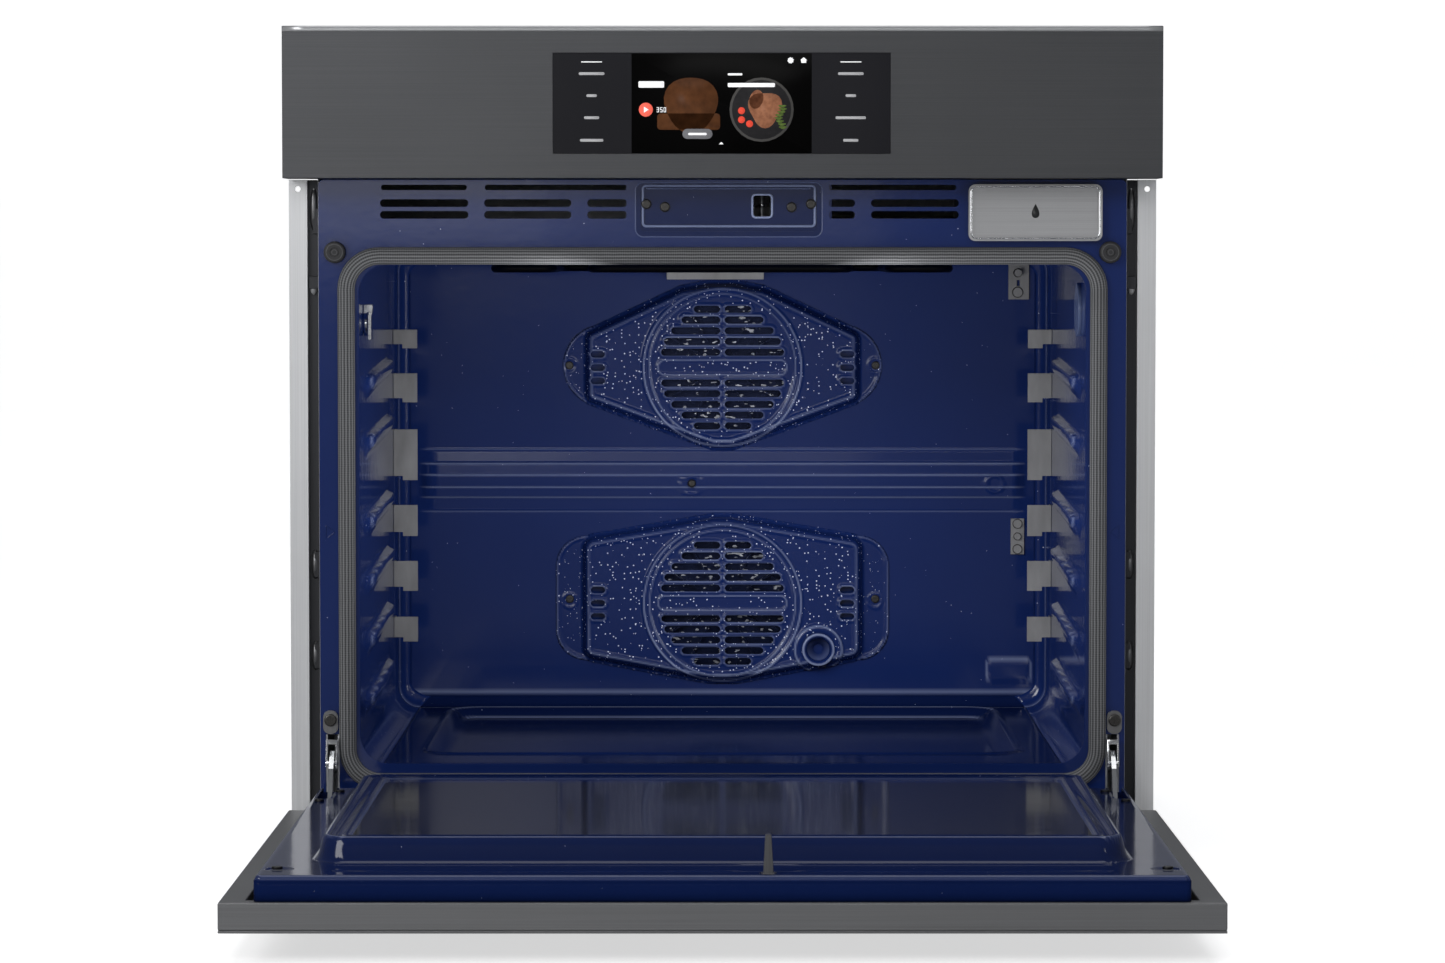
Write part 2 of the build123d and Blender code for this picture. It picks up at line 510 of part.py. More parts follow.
def cooling():
    """Cross-flow cooling blower above the cavity: housing, wheel and motor."""
    x, y, z = BLOWER_X, BLOWER_Y, DECK + HOUSING_HIGH
    inside = rod("Z", (x, y, z), BLOWER_R + 12, 2 * HOUSING_HIGH - 3)
    shell = rod("Z", (x, y, z), BLOWER_R + 14, 2 * HOUSING_HIGH) - inside
    duct = block(x - 80, x, 200, y, z - HOUSING_HIGH, z + HOUSING_HIGH)
    duct -= block(x - 78, x - 2, 190, y - 5, z - HOUSING_HIGH + 2, z + HOUSING_HIGH - 2)
    duct -= inside
    save("blower_housing", shell + duct - rod("Z", (x, y, z + 30), 50, 30))
    wheel = rod("Z", (x, y, z - 28), BLOWER_R, STEEL)
    wheel += tube("Z", (x, y, z + 22), BLOWER_R, BLOWER_R - 18, STEEL)
    vane = Pos(BLOWER_R - 10, 0, 0) * Rot(0, 0, 35) * Box(16, 1, 50)
    for n in range(16):
        wheel += Pos(x, y, z - 3) * Rot(0, 0, 22.5 * n) * vane
    wheel += rod("Z", (x, y, z - 20), 12, 16)
    wheel -= rod("Z", (x, y, z - 14), 3.05, 30)
    save("blower_wheel", wheel)
    motor = rod("Z", (x, y, z + 14), 26, 24) + rod("Z", (x, y, z - 6), 3, 34)
    for n in range(3):
        motor += Pos(x, y, z + HOUSING_HIGH) * Rot(0, 0, 120 * n) * block(20, 80, -4, 4, 0, 2)
    motor += rod("Z", (x, y, z + 30), 22, 10)
    save("blower_motor", motor)


# ---- latch ---------------------------------------------------------------------------------------------
def latch():
    """Recessed latch plate with the strike window, motor body and hook."""
    plate = rounded(FRAME_BACK, FRAME_BACK + SHEET, *LATCH_X, 543, FRAME_HIGH - 2, 5)
    plate -= block(STRIKE_X - 9, STRIKE_X + 9, -12, 0, 563.6, 582.7)
    hollow = rounded(FRAME_FRONT - 1, FRAME_BACK + 0.5, LATCH_RIM_X[0] + LATCH_RIM_WIDE,
                     LATCH_RIM_X[1] - LATCH_RIM_WIDE, LATCH_RIM_Z[0] + LATCH_RIM_WIDE, 589, 4)
    plate += rounded(FRAME_FRONT, FRAME_BACK, *LATCH_RIM_X, *LATCH_RIM_Z, 6.8) - hollow
    save("latch_plate", plate)

    body = block(-46, 76, 2, 46, 584, 588)
    body += block(-46, 76, 2, 46, 560, 563)
    body += block(66, 76, -7, 46, 563, 584)
    body += block(-46, -36, -7, 46, 563, 584)
    body += rod("Z", (STRIKE_X, HOOK_Y, 573.5), 2.5, 21)
    body += rod("Z", (-20, 30, 606), 20, 36)
    save("latch_motor", body)

    reach = rod("Z", (0, 0, 0), HOOK_R + 2, 3) - rod("Z", (0, 0, 0), HOOK_R - 2, 5)
    keep = extrude(make_face(Polyline((0, 0), (7, -60), (-80, -45), close=True)), 4, both=True)
    hook = reach & keep
    claw = Polyline((0, 4), (-4, -2), (-27, -16), (-21, -24), (6, 0), close=True)
    hook += extrude(make_face(claw), 1.5, both=True)
    hook += rod("Z", (0, 0, 0), 6, 3)
    hook -= rod("Z", (0, 0, 0), 2.56, 8)
    save("latch_hook", Pos(STRIKE_X, HOOK_Y, 574) * Rot(0, 0, -50) * hook)


# ---- steam -----------------------------------------------------------------------------------------------
def steam():
    """Reservoir drawer, its housing, pump, generator and tubes."""
    x0, x1 = RESERVOIR_X
    z0, z1 = RESERVOIR_Z
    face = rounded(-18, -12.5, x0, x1, z0, z1, 6)
    face -= rounded(-19, -17, x0 + 4, x1 - 4, z0 + 4, z1 - 4, 4)
    face += rounded(-12.5, -4, x0 + 5, x1 - 5, z0 + 5, z1 - 5, 4)
    save("reservoir_front", face)
    tank = block(x0 + 9, x1 - 9, -4, 230, z0 + 6.3, z1 - 8)
    tank -= block(x0 + 11.5, x1 - 11.5, -1.5, 227.5, z0 + 8.8, z1 - 10.5)
    save("reservoir_tank", tank)
    sleeve = block(x0 + 4, x1 - 4, FRAME_BACK, 250, z0 + 4, z1 - 4)
    sleeve -= block(x0 + 6, x1 - 6, FRAME_BACK - 5, 248, z0 + 6, z1 - 6)
    sleeve -= block(x0 + 4.6, x1 - 4.6, FRAME_BACK - 5, -2, z0 + 4.6, z1 - 4.6)
    save("reservoir_housing", sleeve)
    pump = rod("Y", (300, 287.5, 580), 16, 75) + block(285, 315, 325, 350, 562, 600)
    save("water_pump", pump)
    boiler = block(225, 275, 400, 470, CAVITY_CEILING + SHEET, 610)
    boiler = fillet(boiler.edges(), 6)
    boiler += rod("Z", (250, 435, 615), 8, 12)
    save("steam_generator", boiler)
    feed = serpentine([(300, 350, 590), (300, 390, 590), (300, 390, 640), (250, 390, 640), (250, 435, 640),
                       (250, 435, 621)], 8, 3)
    steam_pipe = serpentine([(240, 470, 570), (240, 572, 570), (NOZZLE_X, 572, 570),
                             (NOZZLE_X, 572, NOZZLE_Z), (NOZZLE_X, CAVITY_BACK + 40, NOZZLE_Z)], 12, 4)
    save("water_tubes", feed, steam_pipe)


# ---- hinges ----------------------------------------------------------------------------------------------
def hinges():
    """Hinge arms, receivers, cover plates, and the U-shaped lock levers."""
    arm = side_plate(HINGE_X - 2, HINGE_X + 2, [
        (PIVOT_Y - 7, PIVOT_Z - 2), (PIVOT_Y + 2, PIVOT_Z - 7), (PIVOT_Y + 6, PIVOT_Z + 2), (-24, 72),
        (-6, 84), (24, 84), (24, 76), (32, 76), (32, 98), (-14, 98), (-30, 84)])
    arm += rod("X", (HINGE_X, PIVOT_Y, PIVOT_Z), 8, 4)
    arm -= rod("X", (HINGE_X, PIVOT_Y, PIVOT_Z), 4.05, 8)
    arm += rod("X", (HINGE_X, -22, 88), 2, 10)
    save("hinge_arms", *both_sides(arm))

    holder = block(HINGE_X - 6.2, HINGE_X - 4.2, FRAME_BACK, 60, 48, 116)
    holder += block(HINGE_X + 4.2, HINGE_X + 6.2, FRAME_BACK, 60, 48, 116)
    holder += block(HINGE_X - 6.2, HINGE_X + 6.2, 58, 60, 48, 116)
    holder += rod("X", (HINGE_X, 14, 79.8), 4, 12)
    save("hinge_receivers", *both_sides(holder))

    plate = rounded(-13, FRAME_FRONT, 336, 349, 112.5, 133, 6)
    save("hinge_covers", *both_sides(plate))

    lever = side_plate(HINGE_X - 5, HINGE_X + 5, [
        (-24.5, 85), (-18.5, 85), (-13.8, 101), (-13.8, 108), (-18, 108), (-21, 96)])
    lever -= block(HINGE_X - 3.4, HINGE_X + 3.4, -30, -10, 80, 104)
    lever -= rod("X", (HINGE_X, -22, 88), 2.06, 20)
    save("hinge_lock_right", lever)
    save("hinge_lock_left", mirror(lever, about=Plane.YZ))


# ---- door ------------------------------------------------------------------------------------------------
def door():
    """Door lying open: outer panel, frame, liner with raised rim, two glasses, strike and hinge channels."""
    far = DOOR_LONG - DOOR_NEAR
    slab = door_slab(-PANEL_HALF, PANEL_HALF, -DOOR_NEAR, far, DOOR_UNDER, DOOR_UNDER + 2)
    save("door_panel", slab)

    frame = door_slab(-PANEL_HALF, PANEL_HALF, -DOOR_NEAR, far, DOOR_UNDER + 2, DOOR_EDGE)
    frame -= door_slab(-PANEL_HALF + 20, PANEL_HALF - 20, -DOOR_NEAR + 2, far - 14, DOOR_UNDER, DOOR_EDGE + 1)
    save("door_frame", frame)

    near = DOOR_NEAR - 0.1
    edge = far - 4
    liner = door_slab(-LINER_HALF, LINER_HALF, -near, edge, DOOR_EDGE, LINER_TOP)
    liner = fillet(liner.edges().filter_by(Axis.Z), 5)
    core = door_slab(-LINER_HALF + SHEET, LINER_HALF - SHEET, -near + SHEET, edge - SHEET, DOOR_EDGE - 1,
                     LINER_TOP - SHEET)
    rim = raised_rim(RIM_HALF, RIM_NEAR, RIM_FAR, LINER_TOP, RIM_TOP, 12)
    hollow = raised_rim(RIM_HALF - SHEET, RIM_NEAR + SHEET, RIM_FAR - SHEET, LINER_TOP - SHEET,
                        RIM_TOP - SHEET, 12)
    window = door_slab(-WINDOW_HALF, WINDOW_HALF, WINDOW_NEAR, WINDOW_FAR, LINER_TOP - 2, RIM_TOP + 1)
    liner = liner + rim - core - hollow - window
    for side in (-1, 1):
        x = side * HINGE_X
        liner -= door_slab(x - HINGE_SLOT, x + HINGE_SLOT, -DOOR_NEAR - 1, 67, DOOR_EDGE - 1, LINER_TOP + 1)
    liner -= door_slab(STRIKE_X - 6, STRIKE_X + 6, STRIKE_OUT - 7, STRIKE_OUT + 7, 20, LINER_TOP + 1)
    save("door_liner", liner)

    edge = WINDOW_HALF + 8
    save("door_inner_glass", door_slab(-edge, edge, WINDOW_NEAR - 8, WINDOW_FAR + 8, RIM_TOP - SHEET - 4,
                                       RIM_TOP - SHEET))
    save("door_middle_glass", door_slab(-290, 290, 80, 462, 6, 10))

    blade = extrude(Plane(origin=(STRIKE_X, PIVOT_Y - STRIKE_OUT + 5, PIVOT_Z), x_dir=(1, 0, 0),
                          z_dir=(0, -1, 0)) * make_face(
        Polyline((-3.9, LINER_TOP), (3.9, LINER_TOP), (2.35, 57.5), (1.2, 58.7), (-1.2, 58.7),
                 (-2.35, 57.5), close=True)), 10)
    blade -= door_slab(STRIKE_X - 9, STRIKE_X + 9, STRIKE_OUT - 3, STRIKE_OUT + 3, 45.5, 55)
    blade += door_slab(STRIKE_X - 5.5, STRIKE_X + 5.5, STRIKE_OUT - 6.5, STRIKE_OUT + 6.5, 10, LINER_TOP)
    save("latch_strike", blade)

    channels = []
    for side in (-1, 1):
        x = side * HINGE_X
        channel = door_slab(x - 7.5, x + 7.5, -13, 230, DOOR_UNDER + 2, 11.5)
        channel -= door_slab(x - 6, x + 6, -14, 231, DOOR_UNDER + 3.5, 30)
        pin = rod("X", (x, PIVOT_Y, PIVOT_Z), 4, 15)
        channels.append(channel + pin)
    save("hinge_channels", *channels)

    screws = []
    for x, out in DOOR_SCREWS:
        head = rod("Z", (x, PIVOT_Y - out, PIVOT_Z + LINER_TOP + 1), 4.2, 2)
        head = fillet(head.faces().sort_by(Axis.Z)[-1].edges(), 0.9)
        screws += both_sides(head)
    save("door_screws", *screws)


def raised_rim(half, near, far, low, high, draft):
    """Raised pan between two heights with drafted walls and rounded corners, seen lying open."""
    centre = (0, PIVOT_Y - (near + far) / 2)
    size = (2 * half, far - near)
    foot = Plane.XY.offset(PIVOT_Z + low) * Pos(*centre) * RectangleRounded(
        size[0] + draft, size[1] + draft, 26)
    top = Plane.XY.offset(PIVOT_Z + high) * Pos(*centre) * RectangleRounded(*size, 20)
    return loft([foot.face(), top.face()])


def main():
    os.makedirs("parts", exist_ok=True)
    casing()
    front()
    cavity()
    convection()
    heaters()
    fittings()
    controls()
    cooling()
    latch()
    steam()
    hinges()
    door()


main()
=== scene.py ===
# %% [markdown]
# # A built-in wall oven with its door standing open
# The oven comes from CAD as separate named parts with joints. This lesson dresses those parts: it
# loads them as a fixed frame, makes the pressed and enamelled sheets again as smooth surfaces, and
# gives each part the finish of the real one. Positions are read from the frame, never moved by eye.

# %% Load the frame
import math
import bpy
import numpy as np
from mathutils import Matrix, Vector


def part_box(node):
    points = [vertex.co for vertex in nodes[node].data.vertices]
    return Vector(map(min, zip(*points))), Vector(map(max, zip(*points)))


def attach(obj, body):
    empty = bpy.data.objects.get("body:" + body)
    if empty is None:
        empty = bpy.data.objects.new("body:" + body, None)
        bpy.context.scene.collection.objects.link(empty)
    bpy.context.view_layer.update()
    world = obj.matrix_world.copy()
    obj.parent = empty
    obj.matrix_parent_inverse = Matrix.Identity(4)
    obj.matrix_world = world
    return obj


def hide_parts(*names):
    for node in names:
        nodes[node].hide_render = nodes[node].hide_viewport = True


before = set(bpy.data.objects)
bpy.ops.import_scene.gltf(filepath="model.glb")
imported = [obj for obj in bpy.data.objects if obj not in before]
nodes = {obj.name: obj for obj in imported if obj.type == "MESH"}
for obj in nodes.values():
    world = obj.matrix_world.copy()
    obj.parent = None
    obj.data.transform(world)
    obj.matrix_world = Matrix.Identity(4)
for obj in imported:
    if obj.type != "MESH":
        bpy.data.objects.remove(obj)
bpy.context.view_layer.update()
scene = bpy.context.scene
print("parts in the frame:", len(nodes))

# %% [markdown]
# ## Measuring in millimetres
# Sheet metal is thought of in millimetres, so shapes are worked out in them and turned into metres
# only when a mesh is made. The box of a CAD part says where its new surface has to go.

# %% Boxes in millimetres
MM = 0.001


def box_mm(node):
    """Lowest and highest corner of a part, in millimetres."""
    low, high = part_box(node)
    return np.array(low) / MM, np.array(high) / MM


side_low, side_high = box_mm("cavity_sides")
back_high = box_mm("cavity_back")[1]
SHEET = 1.5
cavity_half = side_high[0] - SHEET
cavity_floor = side_low[2]
cavity_ceiling = side_high[2]
cavity_front = side_low[1]
cavity_back = side_high[1]
print("cavity half width, floor, ceiling, back:", cavity_half, cavity_floor, cavity_ceiling, cavity_back)

# %% [markdown]
# ## From a formula to a mesh
# A surface is a grid of points, so its faces are always the same pattern: each point joins the next in
# its row and the two above them. Working on whole arrays keeps the code short, and one helper for
# every surface keeps thickness, shading and the body it rides on from being forgotten.


# %% Grids and pieces
def grid_faces(rows, cols, close_rows=False, close_cols=False):
    """Quads of a rows by cols grid: a point, the next in its row, and the two in the row above."""
    i = np.arange(rows if close_rows else rows - 1)
    j = np.arange(cols if close_cols else cols - 1)
    i, j = np.meshgrid(i, j, indexing="ij")
    above = (i + 1) % rows
    beside = (j + 1) % cols
    corners = [i * cols + j, i * cols + beside, above * cols + beside, above * cols + j]
    return np.stack(corners, -1).reshape(-1, 4)


def make_piece(name, points, faces, slot, body="oven", replaced=(), thickness=0.0, flip=False, finish=None,
               painted_highlight=None):
    """Mesh piece from points in millimetres; thickness grows away from the visible side, and the last
    argument says for each point, from 0 to 1, how much painted highlight the enamel gets along its sharp
    bends."""
    faces = [tuple(face[::-1]) if flip else tuple(face) for face in faces]
    mesh = bpy.data.meshes.new(name)
    mesh.from_pydata((np.asarray(points).reshape(-1, 3) * MM).tolist(), [], faces)
    mesh.polygons.foreach_set("use_smooth", np.ones(len(mesh.polygons), bool))
    piece = bpy.data.objects.new(name, mesh)
    scene.collection.objects.link(piece)
    if painted_highlight is not None:
        marks = mesh.attributes.new("painted_highlight", "FLOAT", "POINT")
        each = np.broadcast_to(painted_highlight, np.shape(points)[:-1])
        marks.data.foreach_set("value", each.ravel().astype(np.float32))
    if thickness:
        wall = piece.modifiers.new("sheet thickness", "SOLIDIFY")
        wall.thickness = thickness * MM
        wall.offset = -1
    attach(piece, body)
    if replaced:
        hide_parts(*replaced)
    mesh.materials.append(finishes[finish or slot])
    print(name, len(mesh.polygons), "faces")
    return piece


def grid_points(x, y, z):
    """Points from three arrays, each repeated where needed to match the others."""
    return np.stack(np.broadcast_arrays(x, y, z), -1)


def full_turn(count):
    """Angles all the way round, without the last, which would be the first again."""
    return np.linspace(0, 2 * math.pi, count, endpoint=False)


def smooth(t):
    """Smooth step: 0 below 0, 1 above 1, and 3 t^2 - 2 t^3 between."""
    t = np.clip(t, 0, 1)
    return t * t * (3 - 2 * t)


def bump(distance, width):
    """Rounded bead: 1 on its line, falling to 0 at width either side."""
    return smooth(1 - np.abs(distance) / width)


def strongest(*parts):
    """The largest of several patterns at every point."""
    return np.max(np.broadcast_arrays(*parts), 0)


def spaced(*stretches):
    """Grid lines from stretches of (start, stop, step), sorted, with doubles left out."""
    lines = [np.linspace(a, b, max(2, int(round((b - a) / step)) + 1)) for a, b, step in stretches]
    return np.unique(np.round(np.concatenate(lines), 4))


# %% [markdown]
# ## Distances instead of outlines
# A pressed sheet is easiest to describe by how far each point is from the edge of a feature. Inside a
# slot the distance is negative and outside positive, so a hole, a raised lip and a sloping wall all
# come from the same number.


# %% Distance formulas
def box_distance(x, z, x0, x1, z0, z1, r):
    """Distance to a rounded rectangle: that of the shrunk rectangle, less the corner radius."""
    dx = np.abs(x - (x0 + x1) / 2) - (x1 - x0) / 2 + r
    dz = np.abs(z - (z0 + z1) / 2) - (z1 - z0) / 2 + r
    outside = np.hypot(np.maximum(dx, 0), np.maximum(dz, 0))
    return outside + np.minimum(np.maximum(dx, dz), 0) - r


def polygon_distance(x, z, corners, r):
    """Distance to a convex outline with rounded corners: the largest distance past any side, with
    the true distance to the nearest side outside it, less the rounding."""
    corners = np.asarray(corners, float)
    following = np.roll(corners, -1, 0)
    nearest = np.full(x.shape, np.inf)
    past = np.full(x.shape, -np.inf)
    for (ax, az), (bx, bz) in zip(corners, following):
        ex, ez = bx - ax, bz - az
        t = np.clip(((x - ax) * ex + (z - az) * ez) / (ex * ex + ez * ez), 0, 1)
        nearest = np.minimum(nearest, np.hypot(x - ax - t * ex, z - az - t * ez))
        past = np.maximum(past, ((x - ax) * ez - (z - az) * ex) / math.hypot(ex, ez))
    return np.where(past > 0, nearest, -nearest) - r


def trimmed_grid(across, up, metal):
    """Grid cut to where metal(x, z) is positive: points next to the edge slide onto it down the
    slope of the distance, and cells left partly outside lose their outer corner."""
    x, z = np.meshgrid(across, up, indexing="ij")
    step = 0.01
    here = metal(x, z)
    slope_x = (metal(x + step, z) - here) / step
    slope_z = (metal(x, z + step) - here) / step
    reach_x = np.gradient(across)[:, None] * np.abs(slope_x)
    reach_z = np.gradient(up)[None, :] * np.abs(slope_z)
    near = np.abs(here) < 0.55 * (reach_x + reach_z)
    x = np.where(near, x - here * slope_x, x)
    z = np.where(near, z - here * slope_z, z)
    outside = ((here < 0) & ~near).ravel()
    quads = grid_faces(len(across), len(up))
    out = outside[quads]
    middle = metal(x.ravel()[quads].mean(1), z.ravel()[quads].mean(1)) > 0
    faces = [tuple(q) for q in quads[(out.sum(1) == 0) & middle]]
    for corner in range(4):
        lone = quads[(out.sum(1) == 1) & out[:, corner]]
        faces += [tuple(q) for q in np.delete(lone, corner, 1)]
    used = np.unique(np.concatenate([np.array(f) for f in faces]))
    order = np.full(x.size, -1)
    order[used] = np.arange(len(used))
    faces = [tuple(order[list(f)]) for f in faces]
    return x.ravel()[used], z.ravel()[used], faces


# %% [markdown]
# ## Shader sums as plain expressions
# A finish is a formula: how much speck, how much brushing, where it is rough. Wrapping a socket in a
# small class lets the formula be written as a sum, and each operator adds the Math node it stands for.


# %% Shader helper
class Value:
    """A socket that adds, subtracts and multiplies by making Math nodes."""

    def __init__(self, finish, socket):
        self.finish = finish
        self.socket = socket

    def math(self, operation, a, b):
        made = self.finish.node("ShaderNodeMath", {"operation": operation}, {0: a, 1: b})
        return Value(self.finish, made.outputs[0])

    def __add__(self, other):
        return self.math("ADD", self, other)

    def __sub__(self, other):
        return self.math("SUBTRACT", self, other)

    def __mul__(self, other):
        return self.math("MULTIPLY", self, other)

    def __gt__(self, other):
        return self.math("GREATER_THAN", self, other)

    def __lt__(self, other):
        return self.math("LESS_THAN", self, other)

    def __rsub__(self, other):
        return self.math("SUBTRACT", other, self)

    __radd__ = __add__
    __rmul__ = __mul__


# %% [markdown]
# ## A material in the making
# A finish starts from Blender's own surface shader. Numbers that are the same everywhere are set on it
# directly, and what varies comes in through a node; these helpers add the nodes every finish needs.


# %% Finish helper
class Finish:
    """A material being made: node() adds any node, out() takes a socket to work with."""

    def __init__(self, name, **fixed):
        self.material = bpy.data.materials.new(name)
        self.material.use_nodes = True
        self.tree = self.material.node_tree
        self.shader = self.tree.nodes["Principled BSDF"]
        for socket, value in fixed.items():
            self.shader.inputs[socket.replace("_", " ")].default_value = value

    def node(self, kind, settings=None, sockets=None):
        made = self.tree.nodes.new(kind)
        for key, value in (settings or {}).items():
            setattr(made, key, value)
        for key, value in (sockets or {}).items():
            self.put(made.inputs[key], value)
        return made

    def put(self, socket, value):
        source = value.socket if isinstance(value, Value) else value
        if isinstance(source, bpy.types.NodeSocket):
            self.tree.links.new(source, socket)
        else:
            socket.default_value = source

    def out(self, made, name=0):
        return Value(self, made.outputs[name])

    def place(self, scale=(1, 1, 1), source="Object"):
        """The surface's own coordinates, stretched by scale."""
        where = self.node("ShaderNodeTexCoord").outputs[source]
        stretched = self.node("ShaderNodeMapping", None, {"Vector": where, "Scale": scale})
        return stretched.outputs[0]

    def noise(self, size, detail=3.0, stretch=(1, 1, 1), source="Object"):
        """Cloudy variation with patches about size metres across."""
        made = self.node("ShaderNodeTexNoise", None, {
            "Vector": self.place(stretch, source), "Scale": 1 / size, "Detail": detail})
        return self.out(made, "Fac")

    def mix(self, amount, first, second):
        """Colour between two others; amount is 0 for the first and 1 for the second."""
        made = self.node("ShaderNodeMix", {"data_type": "RGBA"}, {0: amount, 6: first, 7: second})
        return made.outputs[2]

    def dent(self, height, strength, distance):
        """Light falls as if the surface rose by height times distance metres."""
        made = self.node("ShaderNodeBump", None, {
            "Height": height, "Strength": strength, "Distance": distance})
        self.put(self.shader.inputs["Normal"], made.outputs[0])

    def set(self, name, value):
        """Feed one input of the surface shader."""
        self.put(self.shader.inputs[name], value)


def tones(colour, tone):
    """A darker and a lighter version of a colour, as a share of it either way."""
    return [tuple(min(1.0, c * k) for c in colour) + (1,) for k in (1 - tone, 1 + tone)]


# %% [markdown]
# ## Porcelain enamel
# The cavity, frame and door liner are steel coated with glass: a deep navy ground, pale specks fired
# into it, and a clear wet gloss. A Voronoi pattern gives one speck per cell, and only the cells whose
# random number is high keep theirs. Fan covers carry many more specks than the walls. Along sharp bends
# the navy is painted paler, a painted highlight for the light such a bend catches: each piece says where
# its bends are. A lightness below 1 paints the whole navy darker, as painted shade.


# %% Enamel
NAVY = (0.0052, 0.0145, 0.080, 1)
NAVY_LIGHT = (0.0066, 0.0178, 0.092, 1)
SPECK = (0.55, 0.60, 0.78, 1)
HIGHLIGHT_NAVY = (0.26, 0.31, 0.48, 1)


def enamel(name, spacing, share, dot, waves=0.18, gloss=0.40, bright=1.0):
    """Navy gloss with specks: spacing is between cells in metres, share is how many cells keep one,
    waves is how strongly the fired surface ripples, gloss how much it mirrors, and bright how light
    the navy is; below 1 it paints the navy darker as painted shade. The per-point mark laid on each
    piece mixes the navy towards a paler blue along its bends, a painted highlight."""
    f = Finish(name, Specular_IOR_Level=gloss, Coat_Weight=gloss / 2, Coat_Roughness=0.04)
    cells = f.node("ShaderNodeTexVoronoi", None, {"Vector": f.place(), "Scale": 1 / spacing})
    chance = f.node("ShaderNodeSeparateColor", None, {0: cells.outputs["Color"]})
    size = f.out(chance, 1) * dot + dot * 0.35
    speck = (f.out(cells, "Distance") < size) * (f.out(chance, 0) > 1 - share)
    # Along the bends the navy is mixed towards a paler blue: a painted highlight.
    highlight_mask = f.out(f.node("ShaderNodeAttribute", {"attribute_name": "painted_highlight"}), "Fac")
    dark, light = (tuple(c * bright for c in tint[:3]) + (1,) for tint in (NAVY, NAVY_LIGHT))
    ground = f.mix(highlight_mask, f.mix(f.noise(0.09), dark, light), HIGHLIGHT_NAVY)
    f.set("Base Color", f.mix(speck, ground, SPECK))
    f.set("Roughness", f.noise(0.012) * 0.05 + 0.09)
    f.dent(f.noise(0.006, 2.0) * 0.5 + f.noise(0.022, 2.0) + speck * 0.4, waves, 0.0006)
    return f.material


# %% [markdown]
# ## Steel, drawn and brushed
# Brushed steel has fine lines in one direction. Noise stretched a few hundred times along the brushing
# gives the lines, and they feed both roughness and a shallow dent so that highlights smear sideways.


# %% Metals
def metal(name, colour, rough, stretch=(1, 1, 1), grain=0.0012, pure=1.0, depth=0.00005, tone=0.25):
    """Metal with lines or grain: tone is how much lighter the crests are than the hollows, and pure is
    how metallic it is, less than 1 where the brushing scatters light like a matt coat."""
    f = Finish(name, Metallic=pure)
    lines = f.noise(grain, 4.0, stretch)
    cloud = f.noise(0.15, 2.0)
    dark, light = tones(colour, tone)
    f.set("Base Color", f.mix(lines * 0.7 + cloud * 0.3, dark, light))
    f.set("Roughness", lines * 0.12 + (rough - 0.06))
    f.dent(lines, 0.35, depth)
    return f.material


def coating(name, colour, rough, grain=0.0015, tone=0.2, depth=0.0001, **fixed):
    """Plastic, rubber or paint: a fine grain in colour, gloss and surface."""
    f = Finish(name, **fixed)
    fine = f.noise(grain, 3.0)
    dark, light = tones(colour, tone)
    f.set("Base Color", f.mix(fine * 0.6 + f.noise(0.05) * 0.4, dark, light))
    f.set("Roughness", fine * 0.12 + (rough - 0.06))
    f.dent(fine, 0.3, depth)
    return f.material


# %% [markdown]
# ## Fan blades
# Behind the slots the fans are seen as bright scraps between dark ones: blue-black steel with bright
# streaks painted in as highlights where the blades catch light. Noise cut off at a level gives patches
# with sharp edges, which is what such scraps need.


# %% Fan blades
def fan_steel_glints(name):
    """Fan steel: blue-black with scattered bright streaks painted in as highlights on the blades."""
    f = Finish(name, Metallic=0.6)
    painted_glints = f.noise(0.008, 1.0, (1, 1, 2.5)) > 0.66
    f.set("Base Color", f.mix(painted_glints, (0.008, 0.014, 0.050, 1), (0.62, 0.64, 0.70, 1)))
    f.set("Roughness", f.noise(0.01) * 0.2 + 0.15)
    return f.material


# %% [markdown]
# ## Woven seal
# The door seal is a glass-fibre sleeve knitted over a wire core. Its ribs run along the sleeve and its
# stitches across it, so the pattern is read from the surface's own lengths and not from space.


# %% Woven seal
def woven(name):
    """Ribs along the sleeve crossed by stitches; the product of the two waves is the weave."""
    f = Finish(name, Specular_IOR_Level=0.12)
    ribs = f.node("ShaderNodeTexWave", {"bands_direction": "Y"}, {
        "Vector": f.place((1, 1, 1), "UV"), "Scale": 0.115, "Distortion": 0.5, "Detail": 1.0})
    stitch = f.node("ShaderNodeTexWave", {"bands_direction": "X"}, {
        "Vector": f.place((1, 1, 1), "UV"), "Scale": 0.16, "Distortion": 0.8, "Detail": 1.0})
    weave = f.out(ribs, "Fac") * 0.8 + f.out(stitch, "Fac") * 0.2
    f.set("Base Color", f.mix(weave, (0.018, 0.019, 0.021, 1), (0.165, 0.168, 0.175, 1)))
    f.set("Roughness", weave * 0.2 + 0.55)
    f.dent(weave, 0.6, 0.0006)
    return f.material


# %% [markdown]
# ## Glass
# Oven glass is tinted so dark that hardly more than its gloss is seen. A pale, slightly uneven tint and
# a trace of wiping marks keep it from looking like a hole.


# %% Glass
def glass(name, colour, rough, **fixed):
    """Tinted glass seen as a dark gloss, with a trace of wiping marks in its roughness."""
    f = Finish(name, **fixed)
    f.set("Base Color", f.mix(f.noise(0.12), colour + (1,), tuple(c * 1.3 for c in colour) + (1,)))
    f.set("Roughness", f.noise(0.02, 2.0) * 0.04 + rough)
    return f.material


# %% [markdown]
# ## One finish for each material slot
# The record names a slot for every part, so a finish made once serves all the parts that share it. A few
# parts look different from the rest of their slot, and a second table gives each of them its own finish.

